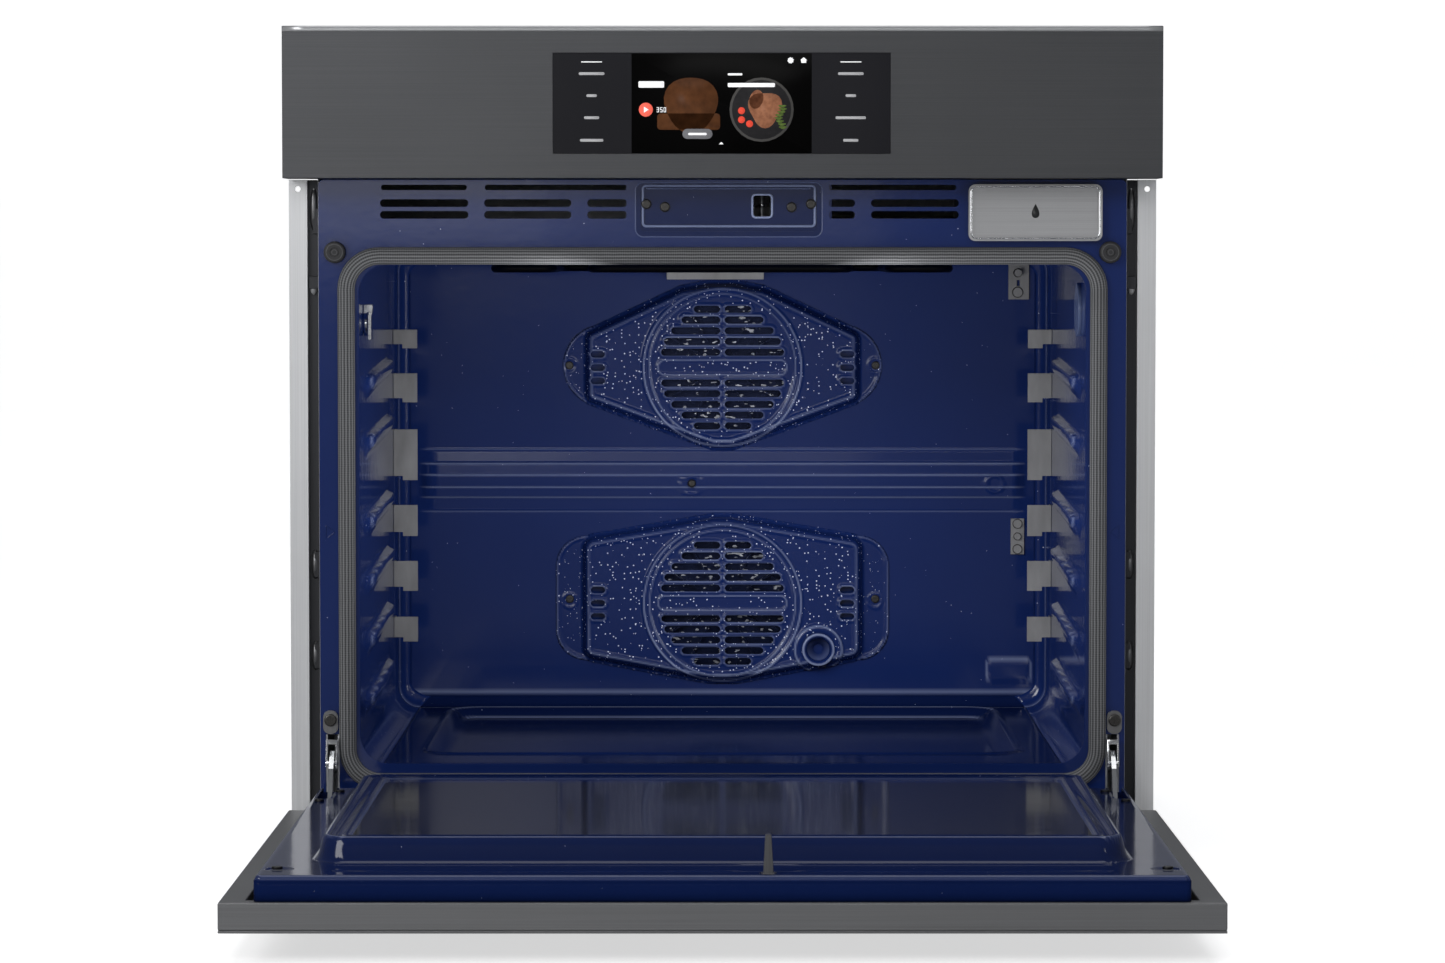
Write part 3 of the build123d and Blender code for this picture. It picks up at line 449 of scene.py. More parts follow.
# %% All finishes
ALONG_X = (0.004, 1, 1)
ALONG_Z = (1, 1, 0.004)
EVEN = (1, 1, 1)
ENAMELS = {
    "blue_enamel": (0.0050, 0.12, 0.06, 0.10),
    "speckled_enamel": (0.0028, 0.48, 0.19),
    "rippled_enamel": (0.0050, 0.30, 0.10, 0.55),
    # The floor and liner rows repeat the enamel with the navy painted darker, their last number below 1:
    # painted shade.
    "floor_enamel": (0.0050, 0.12, 0.06, 0.10, 0.015, 0.50),
    "liner_enamel": (0.0050, 0.12, 0.06, 0.10, 0.25, 0.65),
}
METALS = {
    "dark_steel": ((0.118, 0.120, 0.126), 0.42, ALONG_X, 0.0009),
    # The door's steel is the panel's dark steel painted lighter: painted light.
    "door_steel": ((0.20, 0.202, 0.207), 0.42, ALONG_X, 0.0009, 0.75),
    "drawer_steel": ((0.38, 0.382, 0.39), 0.42, ALONG_X, 0.0009, 0.6),
    "hem_steel": ((0.40, 0.405, 0.415), 0.30, ALONG_X, 0.0009, 0.6),
    "bright_steel": ((0.50, 0.505, 0.515), 0.34, ALONG_Z, 0.0010, 0.6),
    "trim_steel": ((0.60, 0.605, 0.615), 0.36, ALONG_Z, 0.0010, 0.5),
    "grey_steel": ((0.20, 0.20, 0.205), 0.38, ALONG_Z),
    "dark_channel": ((0.045, 0.046, 0.05), 0.38, ALONG_Z, 0.0012, 0.8),
    "grey_cover": ((0.20, 0.20, 0.203), 0.30, ALONG_Z, 0.0012, 0.7),
    "tab_steel": ((0.26, 0.26, 0.263), 0.40, (1, 1, 0.3), 0.012, 0.5, 0.00003, 0.5),
    "chrome": ((0.72, 0.73, 0.74), 0.16, EVEN, 0.003, 1.0, 0.00003, 0.1),
    "galvanised": ((0.50, 0.51, 0.53), 0.42, EVEN, 0.014, 1.0, 0.00004, 0.18),
    "cast_aluminium": ((0.55, 0.56, 0.57), 0.5, EVEN, 0.002, 1.0, 0.0003),
    "motor_steel": ((0.34, 0.34, 0.35), 0.4, EVEN, 0.004),
    "element_sheath": ((0.045, 0.043, 0.042), 0.5, EVEN, 0.002, 1.0, 0.0002),
    "black_screws": ((0.03, 0.03, 0.031), 0.3, EVEN, 0.002),
    "screw_steel": ((0.075, 0.072, 0.068), 0.30, EVEN, 0.001, 0.8),
}
COATINGS = {
    "glass_wool": ((0.72, 0.69, 0.55), 0.95, 0.004, 0.3, 0.002),
    "black_plastic": ((0.018, 0.018, 0.019), 0.45),
    "grey_plastic": ((0.20, 0.205, 0.21), 0.45),
    "circuit_board": ((0.02, 0.12, 0.05), 0.4, 0.003, 0.4),
    "black_rubber": ((0.020, 0.020, 0.022), 0.6, 0.001, 0.3, 0.0002),
    "ring_rubber": ((0.075, 0.076, 0.08), 0.5),
}
finishes = {
    "fan_steel": fan_steel_glints("fan_steel"),
    "silicone_tube": coating("silicone_tube", (0.55, 0.56, 0.55), 0.4, Coat_Weight=0.2),
    "woven_gasket": woven("woven_gasket"),
    "display_glass": glass("display_glass", (0.0105, 0.0105, 0.0125), 0.05, Specular_IOR_Level=0.06),
    "dark_glass": glass("dark_glass", (0.022, 0.022, 0.0225), 0.06, Specular_IOR_Level=0.12),
    "clear_glass": glass("clear_glass", (0.06, 0.08, 0.15), 0.16, Coat_Weight=0.1),
}


def add_finishes(make, recipes):
    """Make one finish from each line of a table and keep it under its name."""
    for name, recipe in recipes.items():
        finishes[name] = make(name, *recipe)


add_finishes(enamel, ENAMELS)
add_finishes(metal, METALS)
add_finishes(coating, COATINGS)
# The door panel and frame take a lighter copy of the dark steel, painted light, and the latch plate the
# liner's darker enamel, painted shade.
PART_FINISH = {"rack_tabs": "tab_steel", "temperature_sensors": "tab_steel", "broil_bracket": "tab_steel",
               "door_panel": "door_steel", "door_frame": "door_steel", "latch_plate": "liner_enamel",
               "upper_fan": "fan_steel", "lower_fan": "fan_steel", "body_screws": "screw_steel",
               "side_trims": "trim_steel", "reservoir_front": "drawer_steel"}
print("finishes:", len(finishes))

# %% [markdown]
# ## Dressing the CAD parts
# Parts whose CAD shape is already right keep it. Real sheet and machined edges are never perfectly
# sharp, and it is the tiny round on them that catches light, so each part's loose triangles are welded
# and given a small bevel as modifiers, which leave the CAD mesh itself alone.

# %% Finish and edge rounding for the CAD parts
EDGE_ROUND = {"display_glass": 0.2, "door_inner_glass": 0.4, "reservoir_front": 0.9, "rack_tabs": 0.35,
              "latch_strike": 0.5, "door_frame": 1.2, "door_panel": 0.6, "control_panel": 0.5}
SMOOTH_ALREADY = ("ring_heaters", "bake_element", "broil_element", "water_tubes", "body_screws",
                  "door_screws", "door_bumpers")
for name, part in nodes.items():
    slot = part.data.materials[0].name.split(".")[0]
    part.data.materials[0] = finishes[PART_FINISH.get(name, slot)]
    if name in SMOOTH_ALREADY:
        continue
    weld = part.modifiers.new("weld", "WELD")
    weld.merge_threshold = 0.00001
    edge = part.modifiers.new("edge round", "BEVEL")
    edge.width = EDGE_ROUND.get(name, 0.35) * MM
    edge.segments = 2
    edge.limit_method = "ANGLE"
    edge.angle_limit = math.radians(40)
    edge.harden_normals = True

# %% [markdown]
# ## Cavity walls
# Each side wall is pressed from one sheet: it curves into the floor and the ceiling, coves into the
# back, and carries the rack ledges, which fall a little towards the room. The wall is a profile carried
# backwards, and a ledge is a push inwards that depends on height and depth.

# %% Cavity walls
CORNER_R = 20.0
COVE_R = 10.0
LEDGE_TOPS = (431.0, 378.0, 306.0, 253.0, 200.0, 147.0)
LEDGE_REACH = 7.0
LEDGE_HIGH = 6.0
LEDGE_FALL = 10.0
LEDGE_FRONT, LEDGE_REAR = 45.0, 340.0
depth_lines = spaced((cavity_front, 30, 8), (30, 70, 3), (70, 310, 8), (310, 350, 2.5), (350, 418, 8),
                     (418, 430, 1.5), (430, 480, 6), (480, 488, 1.5))
cove_turn = np.linspace(0, math.pi / 2, 7)[1:]
depths = np.concatenate([depth_lines, cavity_back - COVE_R + COVE_R * np.sin(cove_turn)])
insets = np.concatenate([np.zeros(len(depth_lines)), COVE_R * (1 - np.cos(cove_turn))])


def ledge_push(depth, height):
    """How far the ledges stand in: a rounded step above and a longer slope below, for each ledge,
    fading out over rounded ends."""
    along = (depth - LEDGE_FRONT) / (LEDGE_REAR - LEDGE_FRONT)
    ends = smooth((depth - LEDGE_FRONT) / 55) * smooth((LEDGE_REAR - depth) / 14)
    push = np.zeros(np.broadcast(depth, height).shape)
    for top in LEDGE_TOPS:
        below = top - LEDGE_FALL * (1 - np.clip(along, 0, 1)) - height
        shape = smooth((below + 3) / 4) * smooth((LEDGE_HIGH + 14 - below) / 15)
        push = np.maximum(push, shape)
    return LEDGE_REACH * push * ends


def wall_points(side):
    """Profile of arc, straight and arc, carried along the depth; side is 1 right and -1 left."""
    turn = np.linspace(-math.pi / 2, 0, 9)
    low_x = cavity_half - CORNER_R + CORNER_R * np.cos(turn)
    low_z = cavity_floor + CORNER_R + CORNER_R * np.sin(turn)
    straight = np.arange(cavity_floor + CORNER_R + 2, cavity_ceiling - CORNER_R - 1, 2.0)
    high_z = cavity_ceiling - CORNER_R - CORNER_R * np.sin(turn[::-1])
    profile_x = np.concatenate([low_x, np.full(len(straight), cavity_half), low_x[::-1]])
    profile_z = np.concatenate([low_z, straight, high_z])
    middle = (cavity_floor + cavity_ceiling) / 2
    x = profile_x[:, None] - insets[None, :] - ledge_push(depths[None, :], profile_z[:, None])
    lean = np.sign(profile_z - middle) * smooth((np.abs(profile_z - middle) - 190) / 33)
    z = profile_z[:, None] - lean[:, None] * insets[None, :]
    return grid_points(side * x, depths[None, :], z)


BEND_DEPTHS = (424.0, 488.5)
SIDES = ((1, "right"), (-1, "left"))
for side, label in SIDES:
    points = wall_points(side)
    # These marks paint the navy paler along the wall's upright bends and the ledge fronts: a painted
    # highlight.
    upright = 0.8 * strongest(*[bump(depths - bend, 3.0) for bend in BEND_DEPTHS])
    rib_front = 0.5 * bump(ledge_push(depths[None, :], points[..., 2]) - 0.7 * LEDGE_REACH, 1.2)
    make_piece(f"cavity_wall_{label}", points, grid_faces(*points.shape[:2]), "blue_enamel",
               replaced=("cavity_sides",), thickness=SHEET, flip=side == 1, finish="rippled_enamel",
               painted_highlight=np.maximum(upright[None, :], rib_front))

# %% [markdown]
# ## Cavity floor and ceiling
# The floor has a shallow basin over the hidden bake element, so that spills stay in it. A distance to
# the basin's rounded outline gives the sloping wall and a low bead round its edge.

# %% Cavity floor and ceiling
flat_half = cavity_half - CORNER_R
BASIN = (-262.0, 262.0, 72.0, 473.0)
BASIN_R = 26.0
BASIN_DEPTH = 8.0
across = spaced((-flat_half, -236, 3), (-236, 236, 12), (236, flat_half, 3))
along = spaced((cavity_front, 60, 8), (60, 100, 2.5), (100, 440, 12), (440, 488, 1.5))
x, y = np.meshgrid(across, np.concatenate([along, depths[-6:]]), indexing="ij")
rise = np.concatenate([np.zeros(len(along)), insets[-6:]])[None, :]
away = box_distance(x, y, *BASIN, BASIN_R)
floor_z = cavity_floor + rise - BASIN_DEPTH * smooth(-away / 15) + 1.8 * bump(away - 3, 5)
ridge = bump(away - 3, 2.2) * smooth((y - 380) / 60) + 0.6 * bump(away + 12, 2.2) * smooth((y - 400) / 60)
rear_line = 0.6 * bump(y - 484, 2.5)
# The floor takes a darker copy of the enamel, its navy painted darker than the walls' as painted shade; its
# ridge and rear line are painted paler as painted highlight.
make_piece("cavity_floor_pan", np.stack([x, y, floor_z], -1), grid_faces(*x.shape), "blue_enamel",
           replaced=("cavity_floor",), thickness=SHEET, flip=True, finish="floor_enamel",
           painted_highlight=strongest(0.7 * ridge, rear_line))
ceiling_z = np.full(x.shape, cavity_ceiling) - rise
make_piece("cavity_roof", np.stack([x, y, ceiling_z], -1), grid_faces(*x.shape), "blue_enamel",
           replaced=("cavity_ceiling",), thickness=SHEET)

# %% [markdown]
# ## Back wall
# One pressed sheet carries the divider rail across its middle, a raised pad at lower right, and a round
# mouth behind each fan cover, which opens into a wider pocket for the fan and its ring heaters. The
# rail is a row of heights joined smoothly, fading out at its ends.

# %% Back wall
fan_heights = {name: (box_mm(f"{name}_fan")[0][2] + box_mm(f"{name}_fan")[1][2]) / 2
               for name in ("upper", "lower")}
POCKET_R = 98.0
POCKET_MOUTH = 76.0
POCKET_BACK = back_high[1]
RAIL_Z = (277, 280, 291, 293, 301, 303, 313, 315, 324.5, 326.5, 337, 340)
RAIL_RISE = (0, 1.0, 1.5, 4.2, 4.6, 6.4, 6.4, 4.6, 4.2, 1.5, 1.0, 0)
RAIL_LINES = ((339, 0.25), (325, 0.6), (314, 0.55), (302, 0.6), (292, 0.5), (278, 0.25))
RAIL_END = 299.0
PAD = (260, 303, 110, 132.5, 5)
DIMPLES = ((-30.5, 303.5, 9), (267, 305, 8))
back_half = cavity_half - COVE_R


def back_metal(x, z):
    """Metal everywhere but in the mouths of the two pockets."""
    return np.minimum(*[np.hypot(x, z - h) - POCKET_MOUTH for h in fan_heights.values()])


back_x = spaced((-back_half, -290, 2), (-290, -110, 6), (-110, 110, 3.5), (110, 256, 6), (256, back_half, 2))
back_z = spaced((cavity_floor + COVE_R, 270, 4), (270, 345, 1.0), (345, cavity_ceiling - COVE_R, 4))
x, z, faces = trimmed_grid(back_x, back_z, back_metal)
ends = smooth((RAIL_END - np.abs(x)) / 14)
pad = box_distance(x, z, *PAD)
stand = np.interp(z, RAIL_Z, RAIL_RISE) * ends + 1.0 * smooth(-pad / 2.5)
for dimple_x, dimple_z, r in DIMPLES:
    stand = stand + 1.2 * bump(np.hypot(x - dimple_x, z - dimple_z) - r, 2.5)
# The rail lines, the pad's edge and the bottom edge are painted paler: a painted highlight.
highlight_mask = [strength * bump(z - line_z, 1.3) * ends for line_z, strength in RAIL_LINES]
highlight_mask = strongest(*highlight_mask, 0.35 * bump(pad, 1.6), 0.35 * bump(z - back_z[1], 2.5))
make_piece("cavity_back_wall", np.stack([x, cavity_back - stand, z], -1), faces, "blue_enamel",
           replaced=("cavity_back",), thickness=SHEET, flip=True, painted_highlight=highlight_mask)

turns = full_turn(72)
pocket_floor = POCKET_BACK - SHEET
pocket_r = np.array([POCKET_MOUTH, POCKET_R, POCKET_R, POCKET_R - 6, 60.0, 6.0])
pocket_y = np.array([cavity_back + SHEET, cavity_back + SHEET + 0.4, pocket_floor - 6, pocket_floor,
                     pocket_floor, pocket_floor])
for name, height in fan_heights.items():
    ring = grid_points(pocket_r[:, None] * np.cos(turns), pocket_y[:, None],
                       height + pocket_r[:, None] * np.sin(turns))
    make_piece(f"{name}_fan_pocket", ring, grid_faces(6, 72, close_cols=True), "blue_enamel", thickness=1.0)

# %% [markdown]
# ## Fan covers
# Each cover is pressed into a shallow tray with sloping sides, a double ring round the fan, and rows of
# slots whose edges are rolled forward so that no finger meets a raw edge. One height formula adds
# these together, and the same slot distances cut the holes.

# %% Fan covers
COVER_RISE = 14.0
nozzle_low, nozzle_high = box_mm("steam_nozzle")
nozzle_x = (nozzle_low[0] + nozzle_high[0]) / 2
nozzle_z = (nozzle_low[2] + nozzle_high[2]) / 2 - fan_heights["lower"]
COVER_OUTLINE = {
    "upper": [(126, -26.7), (126, 28), (37.7, 69.4), (12, 74), (-12, 74), (-37.7, 69.4), (-126, 28),
              (-126, -26.7), (-17, -67.1), (-8, -70.4), (8, -70.4), (17, -67.1)],
    "lower": [(125, -43.6), (125, 52.9), (7.5, 72.5), (-7.5, 72.5), (-125, 52.9), (-125, -43.6),
              (-12.4, -64.7), (12.4, -64.7)],
}
COVER_ROUND = {"upper": 10.0, "lower": 14.0}
EAR_DISC = (115.6, 1.4, 40.6)
EAR_PLATE = (163.5, -56.8, 65.9, 30.0)
SLOT_REACH = (60, 57, 50, 40, 28)
BLANK_BAR = (-63, 63, -7.3, 7.3, 7)
RING_R, INNER_RING_R = 77, 71.5


def slot_distance(x, z):
    """Distance to the nearest slot, with z measured from the fan's middle."""
    nearest = np.full(x.shape, np.inf)
    for row, reach in enumerate(SLOT_REACH):
        level = 15 + 10.5 * row
        rows = box_distance(np.abs(x), np.abs(z), 2.2, reach, level - 3.3, level + 3.3, 3.2)
        nearest = np.minimum(nearest, rows)
    for row in (-13, 0, 13):
        nearest = np.minimum(nearest, box_distance(np.abs(x), z, 115, 129, row - 3, row + 3, 2.9))
    return nearest


def ear_distance(name, x, z):
    """Distance to the flat ears: part discs on the upper cover, one broad plate on the lower."""
    if name == "upper":
        return np.hypot(np.abs(x) - EAR_DISC[0], z - EAR_DISC[1]) - EAR_DISC[2]
    return box_distance(x, z, -EAR_PLATE[0], EAR_PLATE[0], EAR_PLATE[1], EAR_PLATE[2], EAR_PLATE[3])


# %% [markdown]
# ## Pressing the covers
# The height is a sum of small shapes, each made from a distance: tray, rings, slot lips and ears. The
# crests are the same lines, narrower, and say where the navy is painted paler, a painted highlight.


# %% Cover heights and crests
def cover_heights(name, x, z):
    """Stand-off from the back wall: flat ears, a sloping side, two ring beads, slot lips, and a bead
    round the blank bar in the middle."""
    body = polygon_distance(x, z, COVER_OUTLINE[name], COVER_ROUND[name])
    radius = np.hypot(x, z)
    stand = 1.5 + (COVER_RISE - 1.5) * smooth(-body / 7)
    stand = stand + 1.0 * bump(body + 9.5, 2.6)
    stand = stand + 1.9 * bump(radius - RING_R, 3.0) + 1.1 * bump(radius - INNER_RING_R, 2.2)
    stand = stand + 1.3 * bump(slot_distance(x, z) - 1.0, 2.2)
    stand = stand + 0.8 * bump(box_distance(x, z, *BLANK_BAR), 1.8)
    stand = stand + 0.9 * bump(ear_distance(name, x, z) + 2.5, 2.5) * (body > 0)
    if name == "lower":
        boss = np.hypot(x - nozzle_x, z - nozzle_z)
        stand = stand + 3.0 * smooth((25.5 - boss) / 3) * smooth((boss - 14) / 5)
    return stand + 0.6 * bump(np.hypot(np.abs(x) - 150, z - 1.5) - 7, 2.2)


def cover_highlights(name, x, z):
    """Painted highlight where the cover bends sharply: its rings, slot lips, tray edge and ears, fainter
    towards the top.
    """
    body = polygon_distance(x, z, COVER_OUTLINE[name], COVER_ROUND[name])
    radius = np.hypot(x, z)
    fade = 0.65 - 0.35 * z / 80
    tray = strongest(0.8 * bump(radius - RING_R, 1.5), 0.5 * bump(radius - INNER_RING_R, 1.3),
                     0.55 * bump(body + 8.0, 1.5),
                     0.4 * bump(ear_distance(name, x, z) + 1.2, 1.5) * (body > 0))
    boss = np.hypot(x - nozzle_x, z - nozzle_z)
    return strongest(tray * fade, 0.5 * bump(slot_distance(x, z) - 0.6, 1.1),
                     0.35 * bump(box_distance(x, z, *BLANK_BAR), 1.3),
                     0.6 * bump(boss - 23, 1.5) * (name == "lower"))


# %% [markdown]
# ## Cutting the covers
# The same distances say where metal ends, so the slots are cut exactly where their lips were pressed.


# %% Covers, cut and made
def cover_metal(name, x, z):
    """Metal inside the tray or an ear, outside the slots, and outside the steam nozzle's hole."""
    body = polygon_distance(x, z, COVER_OUTLINE[name], COVER_ROUND[name]) - 1.5
    ears = ear_distance(name, x, z)
    inside = -np.minimum(body, ears)
    if name == "lower":
        inside = np.minimum(inside, np.hypot(x - nozzle_x, z - nozzle_z) - 14.2)
    return np.minimum(inside, slot_distance(x, z))


CELL = 1.4
for name, height in fan_heights.items():
    x, z, faces = trimmed_grid(spaced((-165, 165, CELL)), spaced((-84, 90, CELL)),
                               lambda x, z: cover_metal(name, x, z))
    stand = cover_heights(name, x, z)
    make_piece(f"{name}_cover_pressing", np.stack([x, cavity_back - stand, z + height], -1), faces,
               "speckled_enamel", replaced=(f"{name}_fan_cover",), thickness=0.8, flip=True,
               painted_highlight=cover_highlights(name, x, z))

# %% [markdown]
# ## A line round a frame
# The seal, the liner's skirt and several rims follow a rounded rectangle. This helper walks round one,
# with enough points on the straights, and says at each point which way is outwards.


# %% Rounded frame line
def ring_path(half_x, z0, z1, r, steps=10, run=24):
    """Points and outward directions along a rounded rectangle, corner after corner."""
    points, outward = [], []
    middle = (z0 + z1) / 2
    half_z = (z1 - z0) / 2
    for quarter, (sx, sz) in enumerate(((1, 1), (-1, 1), (-1, -1), (1, -1))):
        turn = np.linspace(0, math.pi / 2, steps) + quarter * math.pi / 2
        facing = np.stack([np.cos(turn), np.sin(turn)], -1)
        points.append(np.array([sx * (half_x - r), middle + sz * (half_z - r)]) + r * facing)
        outward.append(facing)
    points, outward = np.concatenate(points), np.concatenate(outward)
    gaps = np.linalg.norm(np.roll(points, -1, 0) - points, axis=1)
    fine_p, fine_o = [], []
    for k in range(len(points)):
        parts = run if gaps[k] > 4 * r / steps * 2 else 1
        t = np.linspace(0, 1, parts, endpoint=False)[:, None]
        fine_p.append(points[k] * (1 - t) + points[(k + 1) % len(points)] * t)
        fine_o.append(np.broadcast_to(outward[k], (parts, 2)) * (1 - t) + outward[(k + 1) % len(points)] * t)
    fine_o = np.concatenate(fine_o)
    return np.concatenate(fine_p), fine_o / np.linalg.norm(fine_o, axis=1)[:, None]


# %% [markdown]
# ## Door seal
# The seal is a sleeve with a round front and a flat back, carried along a rounded rectangle. It keeps a
# map of its own lengths, along and round, so that the weave turns the corners with it.

# %% Door seal
seal_low, seal_high = box_mm("gasket")
SEAL_WIDE = 15.2
SEAL_R = 29.0
SEAL_SIDES = 22
seal_mid, seal_out = ring_path(seal_high[0] - SEAL_WIDE / 2, seal_low[2] + SEAL_WIDE / 2,
                               seal_high[2] - SEAL_WIDE / 2, SEAL_R)
round_front = np.linspace(-0.12, math.pi + 0.12, SEAL_SIDES)
spread = np.cos(round_front) * SEAL_WIDE / 2
lift = np.maximum(np.sin(round_front), 0) ** 0.8 * (seal_high[1] - seal_low[1])
points = grid_points(seal_mid[:, None, 0] + spread * seal_out[:, None, 0], seal_high[1] - lift,
                     seal_mid[:, None, 1] + spread * seal_out[:, None, 1])
seal = make_piece("door_seal", points, grid_faces(*points.shape[:2], close_rows=True), "woven_gasket",
                  replaced=("gasket",), flip=True)
lengths = np.concatenate([[0], np.cumsum(np.linalg.norm(np.diff(seal_mid, axis=0), axis=1))])
seal_map = seal.data.uv_layers.new(name="lengths")
corner = np.zeros(len(seal.data.loops), np.int32)
seal.data.loops.foreach_get("vertex_index", corner)
girth = np.tile(np.linspace(0, 24, SEAL_SIDES), len(seal_mid))
sleeve = np.stack([np.repeat(lengths, SEAL_SIDES), girth], -1)
seal_map.data.foreach_set("uv", sleeve[corner].astype(np.float32).ravel())

# %% [markdown]
# ## Door liner
# The liner is one deep pressing: a flat that meets the seal, a tall rim that plugs the cavity's mouth,
# steps down to the window, and long stiffening grooves near the free edge. It lies open, so its height is
# a function of width and of distance from the hinge.

# %% Door liner
liner_low, liner_high = box_mm("door_liner")
pivot_y, pivot_z = -48.0, 39.0
liner_near, liner_far = pivot_y - liner_high[1], pivot_y - liner_low[1]
flat_top = 29.0
rim_top = liner_high[2] - pivot_z
hinge_x = 341.0
strike_x = 34.5
strike_out = 535.0
window = (-277.0, 277.0, 111.0, 444.0)
rim = (-306.5, 306.5, 51.5, 472.0)
GROOVES = (487.0, 524.0)


def from_edge(x, d):
    """How far inside the liner's outline a point is."""
    return -box_distance(x, d, -liner_high[0], liner_high[0], liner_near, liner_far, 5)


def liner_metal(x, d):
    """Metal inside the outline, outside the window, the two hinge slots and the strike's slot."""
    inside = np.minimum(from_edge(x, d), box_distance(x, d, *window, 9))
    inside = np.minimum(inside, box_distance(np.abs(x), d, hinge_x - 6.4, hinge_x + 6.4, -40, 67, 3))
    return np.minimum(inside, box_distance(x, d, strike_x - 6, strike_x + 6, strike_out - 7,
                                           strike_out + 7, 1.5))


def liner_heights(x, d):
    """Flat, rolled outer edge, rim wall, steps on the rim's top, grooves and screw dimples, added up."""
    roll = np.clip(4 - from_edge(x, d), 0, 4)
    base = flat_top - (4 - np.sqrt(np.maximum(16 - roll ** 2, 0)))
    outside_rim = box_distance(x, d, *rim, 20)
    height = base + (rim_top - flat_top) * smooth((6 - outside_rim) / 6.5)
    inward = -outside_rim
    height = height - 1.4 * smooth((inward - 6) / 2) + 0.9 * bump(inward - 16, 3.5)
    height = height - 1.0 * smooth((inward - 20) / 3)
    for groove in GROOVES:
        line = np.maximum(np.abs(d - groove), (np.abs(x) - 290) * 0.5)
        height = height - 1.1 * bump(line, 4) * (np.abs(x - strike_x) > 22)
    dimple = np.hypot(np.abs(x) - 337, d - 512)
    return height - 1.2 * smooth((11 - dimple) / 4)


# %% [markdown]
# ## Pressing the liner
# The grid is fine where the sheet bends and coarse on its flats. The skirt is the sheet's turned-down
# edge, a short wall carried round the outline.

# %% Liner and skirt
fine = 2.0
liner_x = spaced((-liner_high[0], -268, fine), (-268, 24, 9), (24, 45, 1.5), (45, 268, 9),
                 (268, liner_high[0], fine))
liner_d = spaced((liner_near, 72, 2.4), (72, 104, 8), (104, 118, 2), (118, 436, 10), (436, liner_far, 2.0))
x, d, faces = trimmed_grid(liner_x, liner_d, liner_metal)
points = np.stack([x, pivot_y - d, pivot_z + liner_heights(x, d)], -1)
rim_edge = box_distance(x, d, *rim, 20)
highlight_mask = [0.2 * bump(d - groove - 2, 1.6) * (np.abs(x) < 292) for groove in GROOVES]
highlight_mask = strongest(*highlight_mask, 0.30 * bump(rim_edge + 1.5, 1.6), 0.25 * bump(rim_edge + 20, 2.0),
                  0.35 * bump(from_edge(x, d) - 3, 1.6))
# The liner takes a darker copy of the enamel, its navy painted darker as painted shade, and paler navy along
# its grooves, rim and rolled edge as painted highlight.
make_piece("door_liner_pressing", points, faces, "blue_enamel", "door", ("door_liner",), SHEET,
           finish="liner_enamel", painted_highlight=highlight_mask)

skirt, _ = ring_path(liner_high[0], liner_near, liner_far, 5, 6, 20)
skirt_h = np.array([flat_top - 4, flat_top - 8, 9.4])
points = grid_points(skirt[None, :, 0], pivot_y - skirt[None, :, 1], pivot_z + skirt_h[:, None])
# The skirt takes the floor's darker copy of the enamel: painted shade.
make_piece("door_liner_skirt", points, grid_faces(3, len(skirt), close_cols=True), "blue_enamel", "door",
           thickness=SHEET, finish="floor_enamel")

# %% [markdown]
# ## Steam nozzle
# Steam enters through a short tube with a rolled mouth. It is turned, so a profile of radius against
# depth is swung round its axis.

# %% Steam nozzle
mouth_r = np.array([4.6, 10.6, 11.2, 13.0, 15.0, 16.0, 16.2, 15.8, 13.9])
mouth_y = np.array([17.0, 15.0, 4.0, 1.2, 0.6, 1.6, 4.0, 8.0, 14.0])
around = full_turn(48)
points = grid_points(nozzle_x + mouth_r[:, None] * np.cos(around), nozzle_low[1] + mouth_y[:, None],
                     nozzle_z + fan_heights["lower"] + mouth_r[:, None] * np.sin(around))
# Two rings of the mouth are painted paler navy: a painted highlight on the rolled lip.
make_piece("steam_mouth", points, grid_faces(len(mouth_r), 48, close_cols=True), "blue_enamel",
           replaced=("steam_nozzle",), thickness=0.6, flip=True,
           painted_highlight=np.array([0, 0.2, 0, 0, 0.7, 0.5, 0, 0, 0])[:, None])

# %% [markdown]
# ## Beads and rims
# Many small features are a rounded bead standing on a sheet: the frame of the latch window, the mark
# beside the seal, the rim of the water drawer. One helper lays a round profile along any closed line.


# %% Closed beads
def bead(name, line, y, radius, slot, body="oven", finish=None, sides=10, painted_highlight=0.0):
    """Round section carried along a closed line of x and z, standing on the plane at y."""
    line = np.asarray(line, float)
    ahead = np.roll(line, -1, 0) - np.roll(line, 1, 0)
    ahead = ahead / np.linalg.norm(ahead, axis=1)[:, None]
    out = np.stack([ahead[:, 1], -ahead[:, 0]], -1)
    turn = full_turn(sides)
    points = grid_points(line[:, None, 0] + radius * np.cos(turn) * out[:, None, 0],
                         y - radius * np.sin(turn),
                         line[:, None, 1] + radius * np.cos(turn) * out[:, None, 1])
    return make_piece(name, points, grid_faces(len(line), sides, True, True), slot, body, finish=finish,
                      flip=True, painted_highlight=painted_highlight)


def between(corners, parts=12):
    """Points spread evenly along the sides of a closed outline."""
    corners = np.asarray(corners, float)
    t = np.linspace(0, 1, parts, endpoint=False)[None, :, None]
    return (corners[:, None] * (1 - t) + np.roll(corners, -1, 0)[:, None] * t).reshape(-1, 2)


# %% [markdown]
# ## Rims, rings and marks
# The drawer and the latch window have rims, the latch plate is pressed in three steps, and each bumper
# shows two rings. A small triangle stands on either side of the seal.


# %% Rims, rings and marks
def rounded_line(middle, half_x, z0, z1, r, steps, run):
    """Closed line along a rounded rectangle centred on x = middle."""
    return ring_path(half_x, z0, z1, r, steps, run)[0] + (middle, 0)


